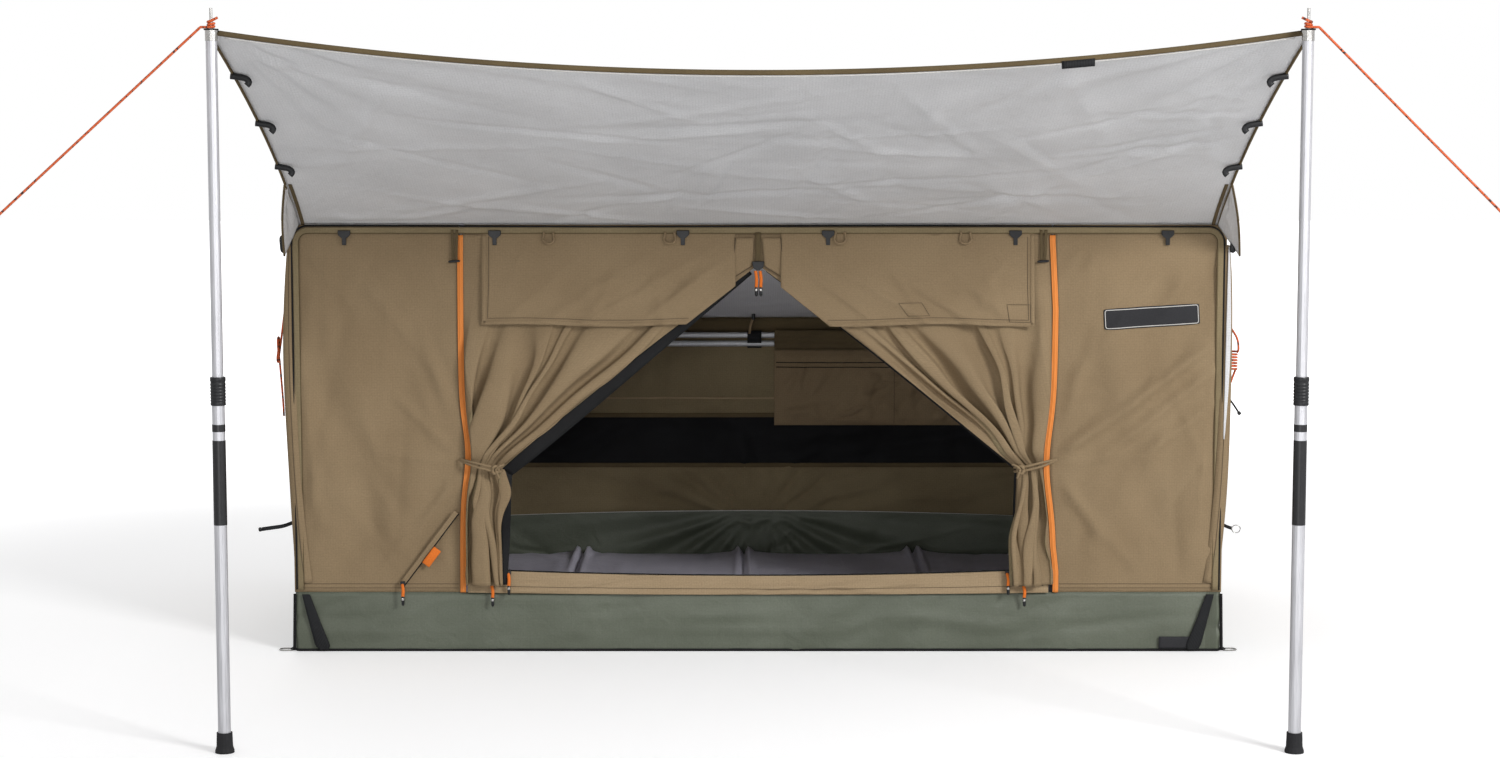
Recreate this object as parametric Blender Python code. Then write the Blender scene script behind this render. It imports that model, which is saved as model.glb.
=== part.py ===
# Framed swag tent with a propped awning.
# The origin is the centre of the groundsheet's underside: +X right, +Y back, +Z up, metres.

import math

import bmesh
import bpy
from mathutils import Matrix, Vector

# Tent body
TENT_LENGTH = 2.16
TENT_DEPTH = 1.05
FRONT_HEIGHT = 1.0
BACK_HEIGHT = 0.71
TUB_HEIGHT = 0.14
CLOTH = 0.003
GAP = 0.0003
TRIM = 0.002

# Door, zips and flaps on the front wall
ZIP_X = 0.685
ZIP_WIDTH = 0.017
ZIP_PROUD = 0.0015
ZIP_TOP_INSET = 0.028
DOOR_TOP = 0.90
DOOR_HALF_GAP = 0.004
TIE_X = 0.60
TIE_HEIGHT = 0.43
FLAP_FOOT_X = 0.592
FLAP_FOOT_HEIGHT = 0.16
FLAP_LEAN = 0.016
FOLD_DEPTH = 0.012
FOLDS = 5
FOLD_STEPS = 4
FLAP_ROWS_ABOVE_TIE = 9
FLAP_ROWS_BELOW_TIE = 4
EDGE_BLEND_SHARE = 0.18
SILL_TOP = 0.186
SILL_CLEAR_RISE = 0.03
STORM_TOP = 0.955
STORM_DROP = 0.195
STORM_INNER_X = 0.03
STORM_OUTER_X = 0.64
STORM_LEAN = 0.008
STORM_WAVE = 0.003
STORM_WAVES = 2
STORM_COLUMNS = 8
STORM_ROWS = 4

# Vent
VENT_LOW = (-0.83, 0.158)
VENT_HIGH = (-0.70, 0.33)
VENT_WIDTH = 0.008
VENT_TAG_LENGTH = 0.047
VENT_TAG_WIDTH = 0.020
VENT_TAG_START_SHARE = 0.42

# Rear wall and what hangs inside
WINDOW_LOW = 0.305
WINDOW_HIGH = 0.442
WINDOW_INSET = 0.07
POCKET_LEFT = 0.047
POCKET_RIGHT = 0.62
POCKET_LOW = 0.415
POCKET_HIGH = 0.62
POCKET_DEPTH = 0.009
RAIL_COVER_RIGHT = 0.95
RAIL_COVER_RISE = 0.026

# Mattress
MATTRESS_LENGTH = 2.04
MATTRESS_DEPTH = 1.0
MATTRESS_HEIGHT = 0.074
MATTRESS_RING = 16
MATTRESS_FOLD_SHARES = (0.27, 0.482, 0.706)
PANEL_STEP_SHARES = (0.05, 0.14, 0.5, 0.86, 0.95)
PANEL_RISE_SHARES = (0.88, 0.96, 1.0, 0.96, 0.88)
CHANNEL_RISE_SHARE = 0.66
END_RISE_SHARE = 0.55
CHANNEL_TUCK = 0.010
END_TUCK = 0.030
SIDE_ROUND_SHARE = 0.28
CROWN_ROUND_SHARE = 0.55

# Awning
AWNING_HALF_WIDTH = 1.057
AWNING_REACH = 1.0
AWNING_SAG = 0.078
AWNING_BELLY = 0.015
AWNING_COLUMNS = 20
AWNING_ROWS = 7
HEM_WIDTH = 0.018
WING_REACH = 0.22
WING_DROP = 0.07
WING_SEAM_SHARE = 0.004
RIM_WIDTH = 0.008
RIM_INSET = 0.03
TOGGLE_WIDTH = 0.026
TOGGLE_HEIGHT = 0.016
TOGGLE_STEM = 0.008
TOGGLE_STEM_DROP = 0.019
TOGGLE_DEPTH = 0.005
TOGGLE_PLACES = (-0.952, -0.606, -0.173, 0.161, 0.592, 0.942)
AWNING_TOGGLE_SHARES = (0.19, 0.42, 0.65)
AWNING_TOGGLE_LENGTH = 0.030
AWNING_TOGGLE_DEPTH = 0.014

# Poles
POLE_INSET = 0.012
POLE_HEIGHT = 1.4
UPPER_RADIUS = 0.011
LOWER_WALL = 0.0012
UPPER_BOTTOM = 0.58
CAP_HEIGHT = 0.020
CAP_RADIUS = 0.012
SPIKE_RADIUS = 0.003
SPIKE_LENGTH = 0.042
LOWER_TOP = 0.72
COLLAR_LOW = 0.682
COLLAR_HIGH = 0.737
COLLAR_WALL = 0.0015
FOOT_HEIGHT = 0.040
FOOT_FLOOR = 0.012
FOOT_WALL = 0.0027
FOOT_FLARE = 0.0035
FOOT_RIM = 0.004
POLE_SIDES = 16

# Corner tabs on the spikes
EYELET_CLEAR = 0.001
EYELET_RADIUS = 0.014
TAB_THICK = 0.0025
TAB_WIDTH = 0.024
TAB_REACH = 0.030

# Folding frame
TUBE_RADIUS = 0.008
TUBE_SIDES = 12
FRONT_LEG_X = 1.062
REAR_LEG_X = 1.034
HUB_Y = 0.33
HUB_Z = 0.17
RAIL_INSET = 0.022
BLOCK = 0.020
REAR_RAIL_Z = 0.651
REAR_RAIL_PITCH = 0.024
KNUCKLE_RADIUS = 0.012
PLATE = 0.003
PLATE_HALF_WIDTH = 0.014
BASE_BAR_HEIGHT = 0.005
BASE_BAR_OVERHANG = 0.03
BASE_BAR_MARGIN = 0.002

# Corner covers, webbing and rings
COVER_WIDTH = 0.060
COVER_LOW = 0.16
COVER_HIGH = 0.93
COVER_BULGE = 0.014
COVER_ROWS = 12
COVER_COLUMNS = 2
BAND_TOP_X = 1.062
BAND_FOOT_X = 1.028
BAND_TOP_WIDTH = 0.018
BAND_FOOT_WIDTH = 0.036
BAND_HEIGHT = 0.13
RING_WIRE = 0.0018
RING_LENGTH = 0.030
RING_HALF_WIDTH = 0.013
RING_ARC_STEPS = 8
RING_SIDES = 6
RING_TAB_REACH = 0.0075
RING_TAB_WIDTH = 0.016
RING_Y_INSET = 0.014
FOOT_STRIP = 0.006
STRIP_WIDTH = 0.012

# Ropes
ROPE = 0.005
ROPE_POINT_STEP = 0.012
ROPE_RESOLUTION = 2
COIL_RESOLUTION = 1
LOOP_POINTS = 24
KNOT_TURNS = 2
KNOT_PITCH = 0.0056
KNOT_CLEAR = 0.0004
KNOT_TAIL = 0.014
GUY_LEFT_END = (-1.50, 1.01)
GUY_RIGHT_END = (1.475, 1.00)
EYE_RADIUS = 0.012
EYE_TURN = math.radians(285)
EYE_POINTS = 12
SPARE_Y = -0.44
ANCHOR_Z = 0.85
ANCHOR_THICK = 0.004
ANCHOR_REACH = 0.020
ANCHOR_BACK_Y = -0.418
HANK_TURNS = 6
HANK_PITCH = 0.0068
HANK_RADIUS = 0.020
HANK_TOP = 0.696

# Zip sliders
SLIDER_WIDTH = 0.009
SLIDER_HEIGHT = 0.008
SLIDER_DEPTH = 0.0055
PULL_WIDTH = 0.003
PULL_DEPTH = 0.0025
PULL_LENGTH = 0.020
PULL_END_WIDTH = 0.005
PULL_END_LENGTH = 0.018
DOOR_SLIDER_X = 0.580
VENT_SLIDER_SHARE = 0.03
SLIDER_CLEAR = 0.003
APEX_TAG_WIDTH = 0.012
APEX_TAG_LENGTH = 0.030

# Shading
SMOOTH_ANGLE = math.radians(40)

# Worked out from the sizes above
HALF_LENGTH = TENT_LENGTH / 2
HALF_DEPTH = TENT_DEPTH / 2
FRONT_Y = -HALF_DEPTH
POLE_X = AWNING_HALF_WIDTH - POLE_INSET
POLE_Y = FRONT_Y - AWNING_REACH
ZIP_INNER = ZIP_X - ZIP_WIDTH / 2 - GAP
ZIP_OUTER = ZIP_X + ZIP_WIDTH / 2 + GAP
ROOF_ANGLE = math.atan2(FRONT_HEIGHT - BACK_HEIGHT, TENT_DEPTH)
ROOF_DROP = CLOTH / math.cos(ROOF_ANGLE)
LOWER_INNER = UPPER_RADIUS + GAP
LOWER_RADIUS = LOWER_INNER + LOWER_WALL
TAB_BOTTOM = POLE_HEIGHT + GAP
TAB_TOP = TAB_BOTTOM + TAB_THICK
AWNING_FRONT_Y = POLE_Y + TAB_REACH
SIDES = (-1, 1)


def roof_top(y):
    """Height of the roof's outer face."""
    share = (y + HALF_DEPTH) / TENT_DEPTH
    return FRONT_HEIGHT + (BACK_HEIGHT - FRONT_HEIGHT) * share


def wall_top(y):
    """Height where a wall stops under the roof cloth."""
    return roof_top(y) - ROOF_DROP - GAP


FRONT_WALL_TOP = wall_top(FRONT_Y + CLOTH)
FRONT_RAIL_Y = FRONT_Y + CLOTH + RAIL_INSET
FRONT_RAIL_Z = wall_top(FRONT_RAIL_Y + BLOCK) - BLOCK / math.sqrt(2)
REAR_RAIL_Y = HALF_DEPTH - CLOTH - RAIL_INSET - TUBE_RADIUS / 2
FRONT_HUB = Vector((0, -HUB_Y, HUB_Z))
REAR_HUB = Vector((0, HUB_Y, HUB_Z))
FRONT_RAIL = Vector((0, FRONT_RAIL_Y, FRONT_RAIL_Z))
REAR_RAIL = Vector((0, REAR_RAIL_Y, REAR_RAIL_Z))
REAR_AIM = (REAR_RAIL - REAR_HUB).normalized()
RAIL_FACE_Y = REAR_RAIL_Y - REAR_AIM.y * REAR_RAIL_PITCH / 2 - TUBE_RADIUS - GAP


def name_side(side):
    return "left" if side < 0 else "right"


def paint(name, colour, roughness, metallic=0.0):
    """Make a Principled material once and give it back each time it is asked for."""
    found = bpy.data.materials.get(name)
    if found:
        return found
    made = bpy.data.materials.new(name)
    made.use_nodes = True
    shader = made.node_tree.nodes["Principled BSDF"]
    shader.inputs["Base Color"].default_value = (*colour, 1.0)
    shader.inputs["Roughness"].default_value = roughness
    shader.inputs["Metallic"].default_value = metallic
    return made


def khaki_canvas():
    return paint("khaki_canvas", (0.205, 0.165, 0.104), 0.85)


def green_pvc():
    return paint("green_pvc", (0.098, 0.116, 0.088), 0.55)


def silver_lining():
    return paint("silver_lining", (0.43, 0.42, 0.43), 0.5)


def black_mesh():
    return paint("black_mesh", (0.012, 0.012, 0.013), 0.8)


def black_webbing_cloth():
    return paint("black_webbing_cloth", (0.014, 0.014, 0.015), 0.75)


def black_plastic():
    return paint("black_plastic", (0.018, 0.018, 0.020), 0.4)


def orange_tape():
    return paint("orange_tape", (0.87, 0.27, 0.045), 0.6)


def orange_rope():
    return paint("orange_rope", (0.69, 0.14, 0.05), 0.7)


def mattress_cloth():
    return paint("mattress_cloth", (0.115, 0.105, 0.125), 0.7)


def white_aluminium():
    return paint("white_aluminium", (0.77, 0.77, 0.79), 0.35, 0.6)


def mill_aluminium():
    return paint("mill_aluminium", (0.60, 0.61, 0.63), 0.3, 0.9)


def bright_steel():
    return paint("bright_steel", (0.62, 0.61, 0.60), 0.25, 1.0)


def foot_rubber():
    return paint("foot_rubber", (0.020, 0.020, 0.022), 0.8)


def clear_scene():
    for found in list(bpy.data.objects):
        bpy.data.objects.remove(found)


def add_block(shape, low, high):
    """A box between two opposite corners."""
    low = Vector(low)
    high = Vector(high)
    size = high - low
    place = Matrix.Translation((low + high) / 2) @ Matrix.Diagonal((*size, 1))
    bmesh.ops.create_cube(shape, size=1, matrix=place)


def add_prism(shape, outline, shift):
    """A flat outline of 3-D points, extruded by a shift."""
    corners = [shape.verts.new(point) for point in outline]
    face = shape.faces.new(corners)
    made = bmesh.ops.extrude_face_region(shape, geom=[face])
    moved = [item for item in made["geom"] if isinstance(item, bmesh.types.BMVert)]
    bmesh.ops.translate(shape, verts=moved, vec=shift)


def add_sheet(shape, rows, shift):
    """Cloth: a grid of points, a list of equal rows, given a thickness by a shift."""
    grid = [[shape.verts.new(point) for point in row] for row in rows]
    faces = []
    for above, below in zip(grid, grid[1:]):
        for corner in range(len(above) - 1):
            after = corner + 1
            faces.append(
                shape.faces.new((above[corner], above[after], below[after], below[corner]))
            )
    made = bmesh.ops.extrude_face_region(shape, geom=faces)
    moved = [item for item in made["geom"] if isinstance(item, bmesh.types.BMVert)]
    bmesh.ops.translate(shape, verts=moved, vec=shift)


def add_loft(shape, rings):
    """A closed body through rings of points, with flat ends."""
    loops = [[shape.verts.new(point) for point in ring] for ring in rings]
    count = len(loops[0])
    for one, other in zip(loops, loops[1:]):
        for corner in range(count):
            after = (corner + 1) % count
            shape.faces.new((one[corner], one[after], other[after], other[corner]))
    shape.faces.new(loops[0])
    shape.faces.new(loops[-1])


def add_rod(shape, start, end, radius, sides):
    """A round bar between two points."""
    start = Vector(start)
    end = Vector(end)
    along = end - start
    turn = Vector((0, 0, 1)).rotation_difference(along).to_matrix().to_4x4()
    bmesh.ops.create_cone(
        shape,
        cap_ends=True,
        segments=sides,
        radius1=radius,
        radius2=radius,
        depth=along.length,
        matrix=Matrix.Translation((start + end) / 2) @ turn,
    )


def add_turned(shape, profile, centre, sides):
    """A closed outline of (radius, height) points, turned about an upright axis."""
    on_axis = profile[0][0] == 0 and profile[-1][0] == 0
    points = [shape.verts.new((centre[0] + r, centre[1], z)) for r, z in profile]
    pairs = list(zip(points, points[1:]))
    if not on_axis:
        pairs.append((points[-1], points[0]))
    edges = [shape.edges.new(pair) for pair in pairs]
    bmesh.ops.spin(
        shape,
        geom=points + edges,
        cent=(centre[0], centre[1], 0),
        axis=(0, 0, 1),
        angle=math.tau,
        steps=sides,
        use_merge=True,
    )
    bmesh.ops.remove_doubles(shape, verts=shape.verts, dist=GAP / 10)


def make_object(name, material, build, origin=(0, 0, 0), round_piece=False):
    """One sub-part: build fills a bmesh in world places, and the origin is moved to its axis."""
    shape = bmesh.new()
    build(shape)
    bmesh.ops.recalc_face_normals(shape, faces=shape.faces)
    bmesh.ops.translate(shape, verts=shape.verts, vec=-Vector(origin))
    mesh = bpy.data.meshes.new(name)
    shape.to_mesh(mesh)
    shape.free()
    if round_piece:
        mesh.shade_smooth()
        mesh.set_sharp_from_angle(angle=SMOOTH_ANGLE)
    mesh.materials.append(material)
    made = bpy.data.objects.new(name, mesh)
    made.location = origin
    bpy.context.collection.objects.link(made)
    return made


def fuse(target, build):
    """Join one more solid to a sub-part with a Boolean union. The solid itself stays hidden."""
    extra = make_object(f"{target.name}_join", target.data.materials[0], build)
    extra.hide_render = True
    extra.display_type = "WIRE"
    union = target.modifiers.new("join", "BOOLEAN")
    union.operation = "UNION"
    union.object = extra


def make_cord(name, points, resolution):
    """A rope along points, as a curve with a round section and filled ends."""
    line = bpy.data.curves.new(name, "CURVE")
    line.dimensions = "3D"
    line.bevel_depth = ROPE / 2
    line.bevel_resolution = resolution
    line.use_fill_caps = True
    spline = line.splines.new("POLY")
    spline.points.add(len(points) - 1)
    for target, point in zip(spline.points, points):
        target.co = (*point, 1)
    line.materials.append(orange_rope())
    made = bpy.data.objects.new(name, line)
    bpy.context.collection.objects.link(made)
    return made


def smooth_route(route, step):
    """Points at an even step along a smooth curve through the route's own points."""
    knots = [Vector(point) for point in route]
    first = knots[0] * 2 - knots[1]
    last = knots[-1] * 2 - knots[-2]
    padded = [first, *knots, last]
    dense = []
    for before, start, end, after in zip(padded, padded[1:], padded[2:], padded[3:]):
        parts = max(1, round((end - start).length / step))
        for part in range(parts):
            t = part / parts
            bend = (end - before) * t
            bend += (before * 2 - start * 5 + end * 4 - after) * t**2
            bend += (start * 3 - before - end * 3 + after) * t**3
            dense.append(start + bend / 2)
    dense.append(knots[-1])
    return dense


def least_gap(points, thickness):
    """The least clear gap between stretches of one tube that aren't neighbours along it."""
    least = None
    travelled = [0.0]
    for one, other in zip(points, points[1:]):
        travelled.append(travelled[-1] + (other - one).length)
    for low in range(len(points)):
        for high in range(low + 1, len(points)):
            if travelled[high] - travelled[low] < thickness * math.pi:
                continue
            clear = (points[high] - points[low]).length - thickness
            least = clear if least is None else min(least, clear)
    return least


def make_tub():
    """The groundsheet: an open tray with a floor and four low walls."""

    def build(shape):
        add_block(shape, (-HALF_LENGTH, -HALF_DEPTH, 0), (HALF_LENGTH, HALF_DEPTH, TUB_HEIGHT))
        shape.faces.ensure_lookup_table()
        top = max(shape.faces, key=lambda face: face.calc_center_median().z)
        bmesh.ops.inset_region(shape, faces=[top], thickness=CLOTH)
        made = bmesh.ops.extrude_discrete_faces(shape, faces=[top])
        floor = made["faces"][0]
        bmesh.ops.translate(shape, verts=floor.verts, vec=(0, 0, CLOTH - TUB_HEIGHT))

    make_object("tub", green_pvc(), build)


def mattress_stations():
    """(place along the length, rise share, tuck) for each cross section."""
    joints = (0.0, *MATTRESS_FOLD_SHARES, 1.0)
    stations = []
    for start, end in zip(joints, joints[1:]):
        rise = END_RISE_SHARE if start == joints[0] else CHANNEL_RISE_SHARE
        tuck = END_TUCK if start == joints[0] else CHANNEL_TUCK
        stations.append((start, rise, tuck))
        for step, lift in zip(PANEL_STEP_SHARES, PANEL_RISE_SHARES):
            stations.append((start + (end - start) * step, lift, 0))
    stations.append((joints[-1], END_RISE_SHARE, END_TUCK))
    return stations


def make_mattress():
    """Four crowned panels with a fold channel between each two and rounded sides."""

    def signed_power(value, share):
        return math.copysign(abs(value) ** share, value)

    def ring(place, rise_share, tuck):
        x = (place - 0.5) * MATTRESS_LENGTH
        half = MATTRESS_DEPTH / 2 - tuck
        height = MATTRESS_HEIGHT * rise_share
        points = []
        for corner in range(MATTRESS_RING):
            angle = math.tau * (corner + 0.5) / MATTRESS_RING
            y = half * signed_power(math.cos(angle), SIDE_ROUND_SHARE)
            lift = 0.5 + signed_power(math.sin(angle), CROWN_ROUND_SHARE) / 2
            points.append((x, y, CLOTH + GAP + height * lift))
        return points

    def build(shape):
        add_loft(shape, [ring(*station) for station in mattress_stations()])

    make_object("mattress", mattress_cloth(), build, round_piece=True)


def make_front_panels():
    """The plain canvas either side of the door zips."""
    for side in SIDES:

        def build(shape, side=side):
            edges = sorted((side * HALF_LENGTH, side * ZIP_OUTER))
            low = (edges[0], FRONT_Y, TUB_HEIGHT + GAP)
            add_block(shape, low, (edges[1], FRONT_Y + CLOTH, FRONT_WALL_TOP))

        make_object(f"front_panel_{name_side(side)}", khaki_canvas(), build)


def make_front_zips():
    """The two orange upright zip tapes."""
    for side in SIDES:

        def build(shape, middle=side * ZIP_X):
            low = (middle - ZIP_WIDTH / 2, FRONT_Y - ZIP_PROUD, TUB_HEIGHT + GAP)
            high = (middle + ZIP_WIDTH / 2, FRONT_Y + CLOTH, FRONT_HEIGHT - ZIP_TOP_INSET)
            add_block(shape, low, high)

        make_object(f"front_zip_{name_side(side)}", orange_tape(), build)


def make_front_header():
    """The canvas above the door."""

    def build(shape):
        low = (-ZIP_INNER, FRONT_Y, DOOR_TOP + GAP)
        add_block(shape, low, (ZIP_INNER, FRONT_Y + CLOTH, FRONT_WALL_TOP))

    make_object("front_header", khaki_canvas(), build)


def storm_face(height):
    """Y of a storm flap's inner face, which leans out towards its hem."""
    fall = (STORM_TOP - height) / STORM_DROP
    return FRONT_Y - GAP - STORM_LEAN * fall


def storm_inner(height):
    """How near a storm flap comes to the middle: below the door's head it follows the door's edge."""
    door_edge, door_seam = flap_edges(min(height, DOOR_TOP))
    return max(STORM_INNER_X, door_edge)


def make_storm_flaps():
    """The two rain flaps that hang over the top of the door, gently waved at the hem."""
    for side in SIDES:

        def build(shape, side=side):
            rows = []
            for row in range(STORM_ROWS + 1):
                fall = row / STORM_ROWS
                z = STORM_TOP - STORM_DROP * fall
                inner = storm_inner(z)
                points = []
                for column in range(STORM_COLUMNS + 1):
                    share = column / STORM_COLUMNS
                    x = side * (inner + (STORM_OUTER_X - inner) * share)
                    wave = math.sin(math.pi * STORM_WAVES * share) ** 2
                    points.append((x, storm_face(z) - STORM_WAVE * wave * fall, z))
                rows.append(points)
            add_sheet(shape, rows, (0, -CLOTH / 2, 0))

        make_object(f"storm_flap_{name_side(side)}", khaki_canvas(), build)


def flap_edges(z):
    """Distances from the middle of the tied-back door's free edge and of its zip edge."""
    outer = ZIP_INNER - GAP
    if z >= TIE_HEIGHT:
        share = (DOOR_TOP - z) / (DOOR_TOP - TIE_HEIGHT)
        inner = DOOR_HALF_GAP + (TIE_X - DOOR_HALF_GAP) * share
    else:
        share = (TIE_HEIGHT - z) / (TIE_HEIGHT - FLAP_FOOT_HEIGHT)
        inner = TIE_X + (FLAP_FOOT_X - TIE_X) * share
    return inner, outer


def flap_gather(z):
    """How far the door cloth is drawn together at a height, from 0 to 1."""
    inner, outer = flap_edges(z)
    top_inner, top_outer = flap_edges(DOOR_TOP)
    full = top_outer - top_inner
    tied_inner, tied_outer = flap_edges(TIE_HEIGHT)
    return (full - (outer - inner)) / (full - (tied_outer - tied_inner))


def flap_heights():
    top = DOOR_TOP - GAP
    upper = [
        top + (TIE_HEIGHT - top) * row / FLAP_ROWS_ABOVE_TIE for row in range(FLAP_ROWS_ABOVE_TIE)
    ]
    clear = SILL_TOP + SILL_CLEAR_RISE
    lower = [
        TIE_HEIGHT + (clear - TIE_HEIGHT) * row / FLAP_ROWS_BELOW_TIE
        for row in range(FLAP_ROWS_BELOW_TIE + 1)
    ]
    return upper + lower + [SILL_TOP + GAP, FLAP_FOOT_HEIGHT]


def make_door_flaps():
    """The door's two halves, tied back: folds run from the head to the tie and on to the hem."""
    columns = FOLDS * FOLD_STEPS
    for side in SIDES:

        def build(shape, side=side):
            rows = []
            for z in flap_heights():
                inner, outer = flap_edges(z)
                gather = flap_gather(z)
                near_sill = (SILL_TOP + SILL_CLEAR_RISE - z) / (SILL_CLEAR_RISE - GAP)
                base = (CLOTH + GAP) * min(1, max(0, near_sill))
                points = []
                for column in range(columns + 1):
                    share = column / columns
                    x = side * (outer + (inner - outer) * share)
                    rise = min(1, share / EDGE_BLEND_SHARE)
                    fold = FOLD_DEPTH * math.cos(math.tau * column / FOLD_STEPS)
                    y = FRONT_Y - base - rise * gather * (FLAP_LEAN + fold)
                    points.append((x, y, z))
                rows.append(points)
            add_sheet(shape, rows, (0, CLOTH, 0))

        make_object(f"door_flap_{name_side(side)}", khaki_canvas(), build, round_piece=True)


def make_door_sill():
    """The canvas step under the door opening."""

    def build(shape):
        low = (-ZIP_INNER, FRONT_Y, TUB_HEIGHT + GAP)
        add_block(shape, low, (ZIP_INNER, FRONT_Y + CLOTH, SILL_TOP))

    make_object("door_sill", khaki_canvas(), build)


def make_end_walls():
    """The two canvas ends, lower at the back."""
    front = FRONT_Y + CLOTH + GAP
    back = HALF_DEPTH - CLOTH - GAP
    low = TUB_HEIGHT + GAP
    for side in SIDES:
        x = side * HALF_LENGTH

        def build(shape, x=x, side=side):
            outline = [
                (x, front, low),
                (x, back, low),
                (x, back, wall_top(back)),
                (x, front, wall_top(front)),
            ]
            add_prism(shape, outline, (-side * CLOTH, 0, 0))

        make_object(f"end_wall_{name_side(side)}", khaki_canvas(), build)


def make_rear_wall():
    """The canvas rear wall with its long opening, and the black mesh window in it."""
    inner = HALF_DEPTH - CLOTH

    def build_wall(shape):
        reach = HALF_LENGTH - WINDOW_INSET
        outer_ring = [
            (-HALF_LENGTH, TUB_HEIGHT + GAP),
            (HALF_LENGTH, TUB_HEIGHT + GAP),
            (HALF_LENGTH, wall_top(HALF_DEPTH)),
            (-HALF_LENGTH, wall_top(HALF_DEPTH)),
        ]
        opening = [
            (-reach, WINDOW_LOW),
            (reach, WINDOW_LOW),
            (reach, WINDOW_HIGH),
            (-reach, WINDOW_HIGH),
        ]
        outer = [shape.verts.new((x, inner, z)) for x, z in outer_ring]
        hole = [shape.verts.new((x, inner, z)) for x, z in opening]
        count = len(outer)
        faces = []
        for corner in range(count):
            after = (corner + 1) % count
            faces.append(shape.faces.new((outer[corner], outer[after], hole[after], hole[corner])))
        made = bmesh.ops.extrude_face_region(shape, geom=faces)
        moved = [item for item in made["geom"] if isinstance(item, bmesh.types.BMVert)]
        bmesh.ops.translate(shape, verts=moved, vec=(0, CLOTH, 0))

    def build_window(shape):
        reach = HALF_LENGTH - WINDOW_INSET - GAP
        add_block(shape, (-reach, inner, WINDOW_LOW + GAP), (reach, HALF_DEPTH, WINDOW_HIGH - GAP))

    make_object("rear_wall", khaki_canvas(), build_wall)
    make_object("rear_window", black_mesh(), build_window)


def make_roof():
    """The sloping roof cloth."""

    def build(shape):
        outline = [
            (-HALF_LENGTH, -HALF_DEPTH, roof_top(-HALF_DEPTH)),
            (-HALF_LENGTH, HALF_DEPTH, roof_top(HALF_DEPTH)),
            (-HALF_LENGTH, HALF_DEPTH, roof_top(HALF_DEPTH) - ROOF_DROP),
            (-HALF_LENGTH, -HALF_DEPTH, roof_top(-HALF_DEPTH) - ROOF_DROP),
        ]
        add_prism(shape, outline, (TENT_LENGTH, 0, 0))

    make_object("roof", khaki_canvas(), build)


def awning_front_height(x):
    """Top of the awning's front edge, which sags between the poles."""
    share = x / AWNING_HALF_WIDTH
    return TAB_TOP - AWNING_SAG * (1 - share**2)


def awning_point(x, share):
    """The awning's top face, from the tent at share 0 to the front edge at share 1."""
    back_y = FRONT_Y - GAP
    y = back_y + (AWNING_FRONT_Y - back_y) * share
    z = FRONT_HEIGHT + (awning_front_height(x) - FRONT_HEIGHT) * share
    width_share = x / AWNING_HALF_WIDTH
    z -= AWNING_BELLY * math.sin(math.pi * share) * (1 - width_share**2)
    return Vector((x, y, z))


def make_awning():
    """The awning: curved across, hollow along its front edge."""

    def build(shape):
        rows = []
        for row in range(AWNING_ROWS + 1):
            points = []
            for column in range(AWNING_COLUMNS + 1):
                x = AWNING_HALF_WIDTH * (2 * column / AWNING_COLUMNS - 1)
                points.append(awning_point(x, row / AWNING_ROWS))
            rows.append(points)
        add_sheet(shape, rows, (0, 0, -CLOTH))

    cloth = make_object("awning", silver_lining(), build, round_piece=True)
    for side in SIDES:

        def build_wing(shape, side=side):
            edge = side * AWNING_HALF_WIDTH
            tip = awning_point(AWNING_HALF_WIDTH, WING_REACH / AWNING_REACH)
            root = awning_point(AWNING_HALF_WIDTH, WING_SEAM_SHARE)
            outline = [
                (edge, tip.y, tip.z - CLOTH / 2),
                (edge, root.y, root.z - CLOTH / 2),
                (edge, root.y, root.z - WING_DROP),
                (edge, tip.y, tip.z - CLOTH),
            ]
            add_prism(shape, outline, (-side * CLOTH / 2, 0, 0))

        fuse(cloth, build_wing)


def make_awning_hem():
    """The binding along the awning's front edge, with an eyelet tab on each spike."""

    def build(shape):
        rows = []
        for drop in (0, HEM_WIDTH):
            points = []
            for column in range(AWNING_COLUMNS + 1):
                x = AWNING_HALF_WIDTH * (2 * column / AWNING_COLUMNS - 1)
                points.append((x, AWNING_FRONT_Y - GAP, awning_front_height(x) - drop))
            rows.append(points)
        add_sheet(shape, rows, (0, -TRIM, 0))

    hem = make_object("awning_hem", khaki_canvas(), build)
    bore = SPIKE_RADIUS + EYELET_CLEAR
    for side in SIDES:
        x = side * POLE_X

        def build_eyelet(shape, x=x):
            profile = [
                (bore, TAB_BOTTOM),
                (EYELET_RADIUS, TAB_BOTTOM),
                (EYELET_RADIUS, TAB_TOP),
                (bore, TAB_TOP),
            ]
            add_turned(shape, profile, (x, POLE_Y), POLE_SIDES)

        def build_tongue(shape, x=x):
            low = (x - TAB_WIDTH / 2, POLE_Y + (bore + EYELET_RADIUS) / 2, TAB_BOTTOM)
            high = (x + TAB_WIDTH / 2, AWNING_FRONT_Y - GAP - TRIM / 2, TAB_TOP)
            add_block(shape, low, high)

        fuse(hem, build_eyelet)
        fuse(hem, build_tongue)


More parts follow.
